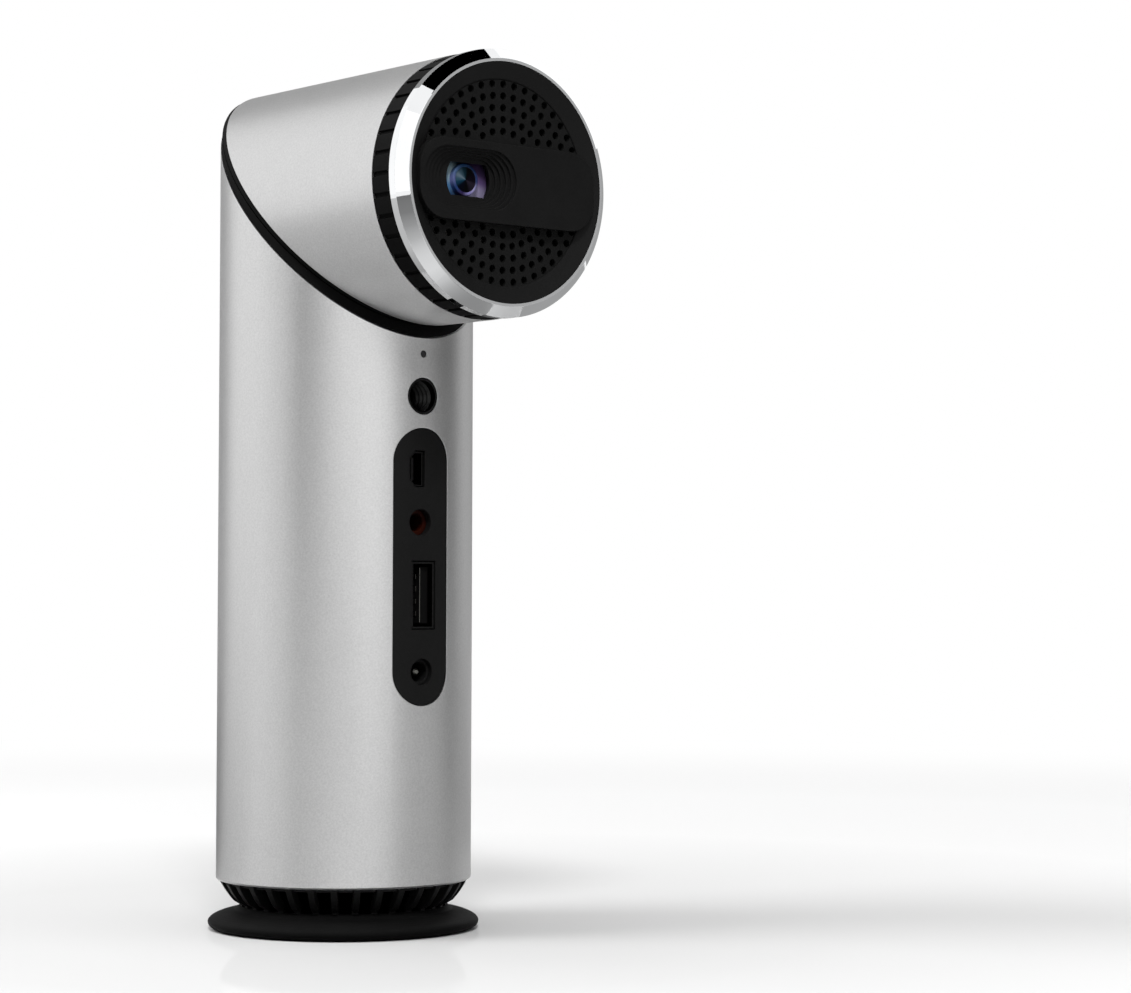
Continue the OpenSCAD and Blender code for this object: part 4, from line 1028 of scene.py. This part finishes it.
# %% [markdown]
# ## Cards round the set
# Shiny metal shows what stands round it. A product photographer hangs white and black cards out
# of the picture, and the metal then shows calm bands with clear edges. The same is done here:
# each card is a patch of a big sphere, given by its compass direction and its height in degrees.
# A few more lie on the table as sectors whose brightness changes with the distance, for the
# bezel and the tubes that look down on it: a painted reflection of the table and of the shade
# on it. Only reflections see the cards, so they cast no shadow and never stand in a view.

# %% Card builders
CARD_RADIUS = 2.0
CARD_CENTRE = 0.1
CARD_LIFT = 0.001


def along(span, steps):
    """Angles in radians, from one end of a span in degrees to the other."""
    return [math.radians(span[0] + (span[1] - span[0]) * k / steps) for k in range(steps + 1)]


def hang(name, mesh, material):
    """Puts a card in the set so that only reflections see it."""
    mesh.materials.append(material)
    made = add_object(name, mesh)
    made.visible_camera = False
    made.visible_diffuse = False
    made.visible_shadow = False
    made.visible_transmission = False
    made.visible_volume_scatter = False
    made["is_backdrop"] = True


def card(name, az, el, level, steps=14):
    """A patch of the sphere. Direction 0 is where the lens points and 90 is the object's +X."""
    points = [(CARD_RADIUS * math.cos(e) * math.sin(a), -CARD_RADIUS * math.cos(e) * math.cos(a),
               CARD_CENTRE + CARD_RADIUS * math.sin(e))
              for e in along(el, steps) for a in along(az, steps)]
    n = steps + 1
    faces = [(i * n + k, i * n + k + 1, (i + 1) * n + k + 1, (i + 1) * n + k)
             for i in range(steps) for k in range(steps)]
    mesh = bpy.data.meshes.new(name)
    mesh.from_pydata(points, [], faces)
    material, tree, surface = bare_material(name)
    glow = tree.nodes.new("ShaderNodeEmission")
    glow.inputs["Color"].default_value = grey(1.0)
    glow.inputs["Strength"].default_value = level
    link(tree, glow.outputs[0], surface)
    hang(name, mesh, material)


def floor_card(name, az, stops, steps=24):
    """A sector that lies on the floor and shows from above; stops are (distance in m, level)."""
    near, far = stops[0][0], stops[-1][0]
    points = [(r * math.sin(a), -r * math.cos(a), CARD_LIFT)
              for a in along(az, steps) for r in (near, far)]
    mesh = bpy.data.meshes.new(name)
    mesh.from_pydata(points, [], [(2 * k, 2 * k + 1, 2 * k + 3, 2 * k + 2) for k in range(steps)])
    material, tree, surface = bare_material(name)
    outward = spread(tree, distance(tree), near, far, 0.0, 1.0)
    levels = [((r - near) / (far - near), grey(level)) for r, level in stops]
    glow = tree.nodes.new("ShaderNodeEmission")
    link(tree, colour_ramp(tree, outward, levels), glow.inputs["Color"])
    below = add_node(tree, "ShaderNodeNewGeometry").outputs["Backfacing"]
    clear = tree.nodes.new("ShaderNodeBsdfTransparent")
    link(tree, mix_shaders(tree, below, glow.outputs[0], clear.outputs[0]), surface)
    hang(name, mesh, material)


print("card builders ready")

# %% Studio cards
CARDS = [
    ("card_front_edge", (6, 22), (-3, 14), 0.22),
    ("card_right_dark", (22, 33), (-3, 14), 0.02),
    ("card_lip_grey", (33, 44), (-3, 14), 0.42),
    ("card_side_dark", (44, 82), (-3, 14), 0.02),
    ("card_side_pale", (82, 112), (-3, 13), 0.6),
    ("card_right_upper", (22, 94), (14, 52), 0.06),
    ("card_back_white", (94, 127), (13, 60), 1.15),
    ("card_back_grey", (112, 194), (-3, 13), 0.36),
    ("card_back_dim", (127, 178), (13, 46), 0.3),
    ("card_back_bright", (-166, -112), (-3, 45), 1.08),
    ("card_left_pale", (-112, -86), (-3, 10), 0.75),
    ("card_left_dark", (-86, -72), (-3, 34), 0.05),
    ("card_left_grey", (-72, -55), (-3, 34), 0.45),
    ("card_front_white", (-52, -42), (-3, 60), 1.15),
    ("card_front_bright", (-42, 6), (-3, 45), 1.28),
    ("card_top_black", (-70, 110), (61.5, 89), 0.0),
]
# Floor sectors: painted reflection of the table, with its shade painted in as darker stretches.
FLOOR_CARDS = [
    ("floor_front", (-54, -24), [(0.19, 0.7), (0.21, 0.65), (0.26, 0.48), (0.35, 0.33),
                                 (0.51, 0.22), (1.25, 0.17)]),
    ("floor_near", (-54, -16), [(0.112, 0.52), (0.132, 0.63), (0.155, 0.75), (0.19, 0.7)]),
    ("floor_under", (-16, 38), [(0.095, 0.26), (0.106, 0.28), (0.117, 0.4), (0.13, 0.58),
                                (0.15, 0.72), (0.19, 0.75)]),
    ("floor_right", (64, 116), [(0.158, 0.36), (1.6, 0.38)]),
    ("floor_back", (124, 186), [(0.1, 0.16), (0.2, 0.09), (0.5, 0.11), (1.6, 0.2)]),
    ("floor_behind", (-174, -124), [(0.1, 0.3), (0.2, 0.52), (1.3, 0.6)]),
]
for name, az, el, level in CARDS:
    card(name, az, el, level)
for name, az, stops in FLOOR_CARDS:
    floor_card(name, az, stops)
print("cards:", len(CARDS) + len(FLOOR_CARDS))

# %% [markdown]
# ## Light
# Four soft lamps light the matt surfaces: one overhead, a small one from the picture's own
# side, whose shadow falls behind the object, one from the left and behind, which throws the
# long soft shadow to the right, and a weak one on the right. The world is plain white for the
# camera and for reflections, and dimmer for the light that falls on matt surfaces, so that
# colours render about as they are written.

# %% Lamps and world
LAMP_AIM = Vector((0, 0, 0.08))
WORLD_LIGHT, WORLD_SEEN = 0.22, 1.0
LAMPS = [
    ("lamp_over", (-0.1, -0.05, 1.3), 0.8, 8.0),
    ("lamp_front", (-0.6, -0.83, 1.2), 0.3, 12.0),
    ("lamp_left", (-0.85, 0.45, 0.95), 0.6, 9.0),
    ("lamp_right", (0.9, -0.8, 0.9), 0.8, 1.8),
]


def soft_lamp(name, place, size, power):
    """A round lamp, size in metres and power in watts, that no camera or mirror sees."""
    data = bpy.data.lights.new(name, "AREA")
    data.shape, data.size, data.energy = "DISK", size, power
    lamp = add_object(name, data)
    lamp.location = place
    lamp.rotation_mode = "QUATERNION"
    lamp.rotation_quaternion = (LAMP_AIM - Vector(place)).to_track_quat("-Z", "Y")
    lamp.visible_glossy = False
    lamp.visible_camera = False


for name, place, size, power in LAMPS:
    soft_lamp(name, place, size, power)

world = bpy.data.worlds.new("studio")
scene.world = world
world.use_nodes = True
sky = world.node_tree
background = sky.nodes["Background"]
background.inputs["Color"].default_value = grey(1.0)
strength = spread(sky, ray_kinds(sky)[1], 0.0, 1.0, WORLD_LIGHT, WORLD_SEEN)
link(sky, strength, background.inputs["Strength"])
bpy.context.scene.view_settings.view_transform = "Standard"
print("lamps:", len(LAMPS))

# %% [markdown]
# ## Sizes, and the end
# The box of the dressed model is printed in millimetres. The dressed model has to stay
# inside the CAD model's box.

# %% Sizes and finish
low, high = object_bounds()
print("visual box in mm:", size_mm(low, high))
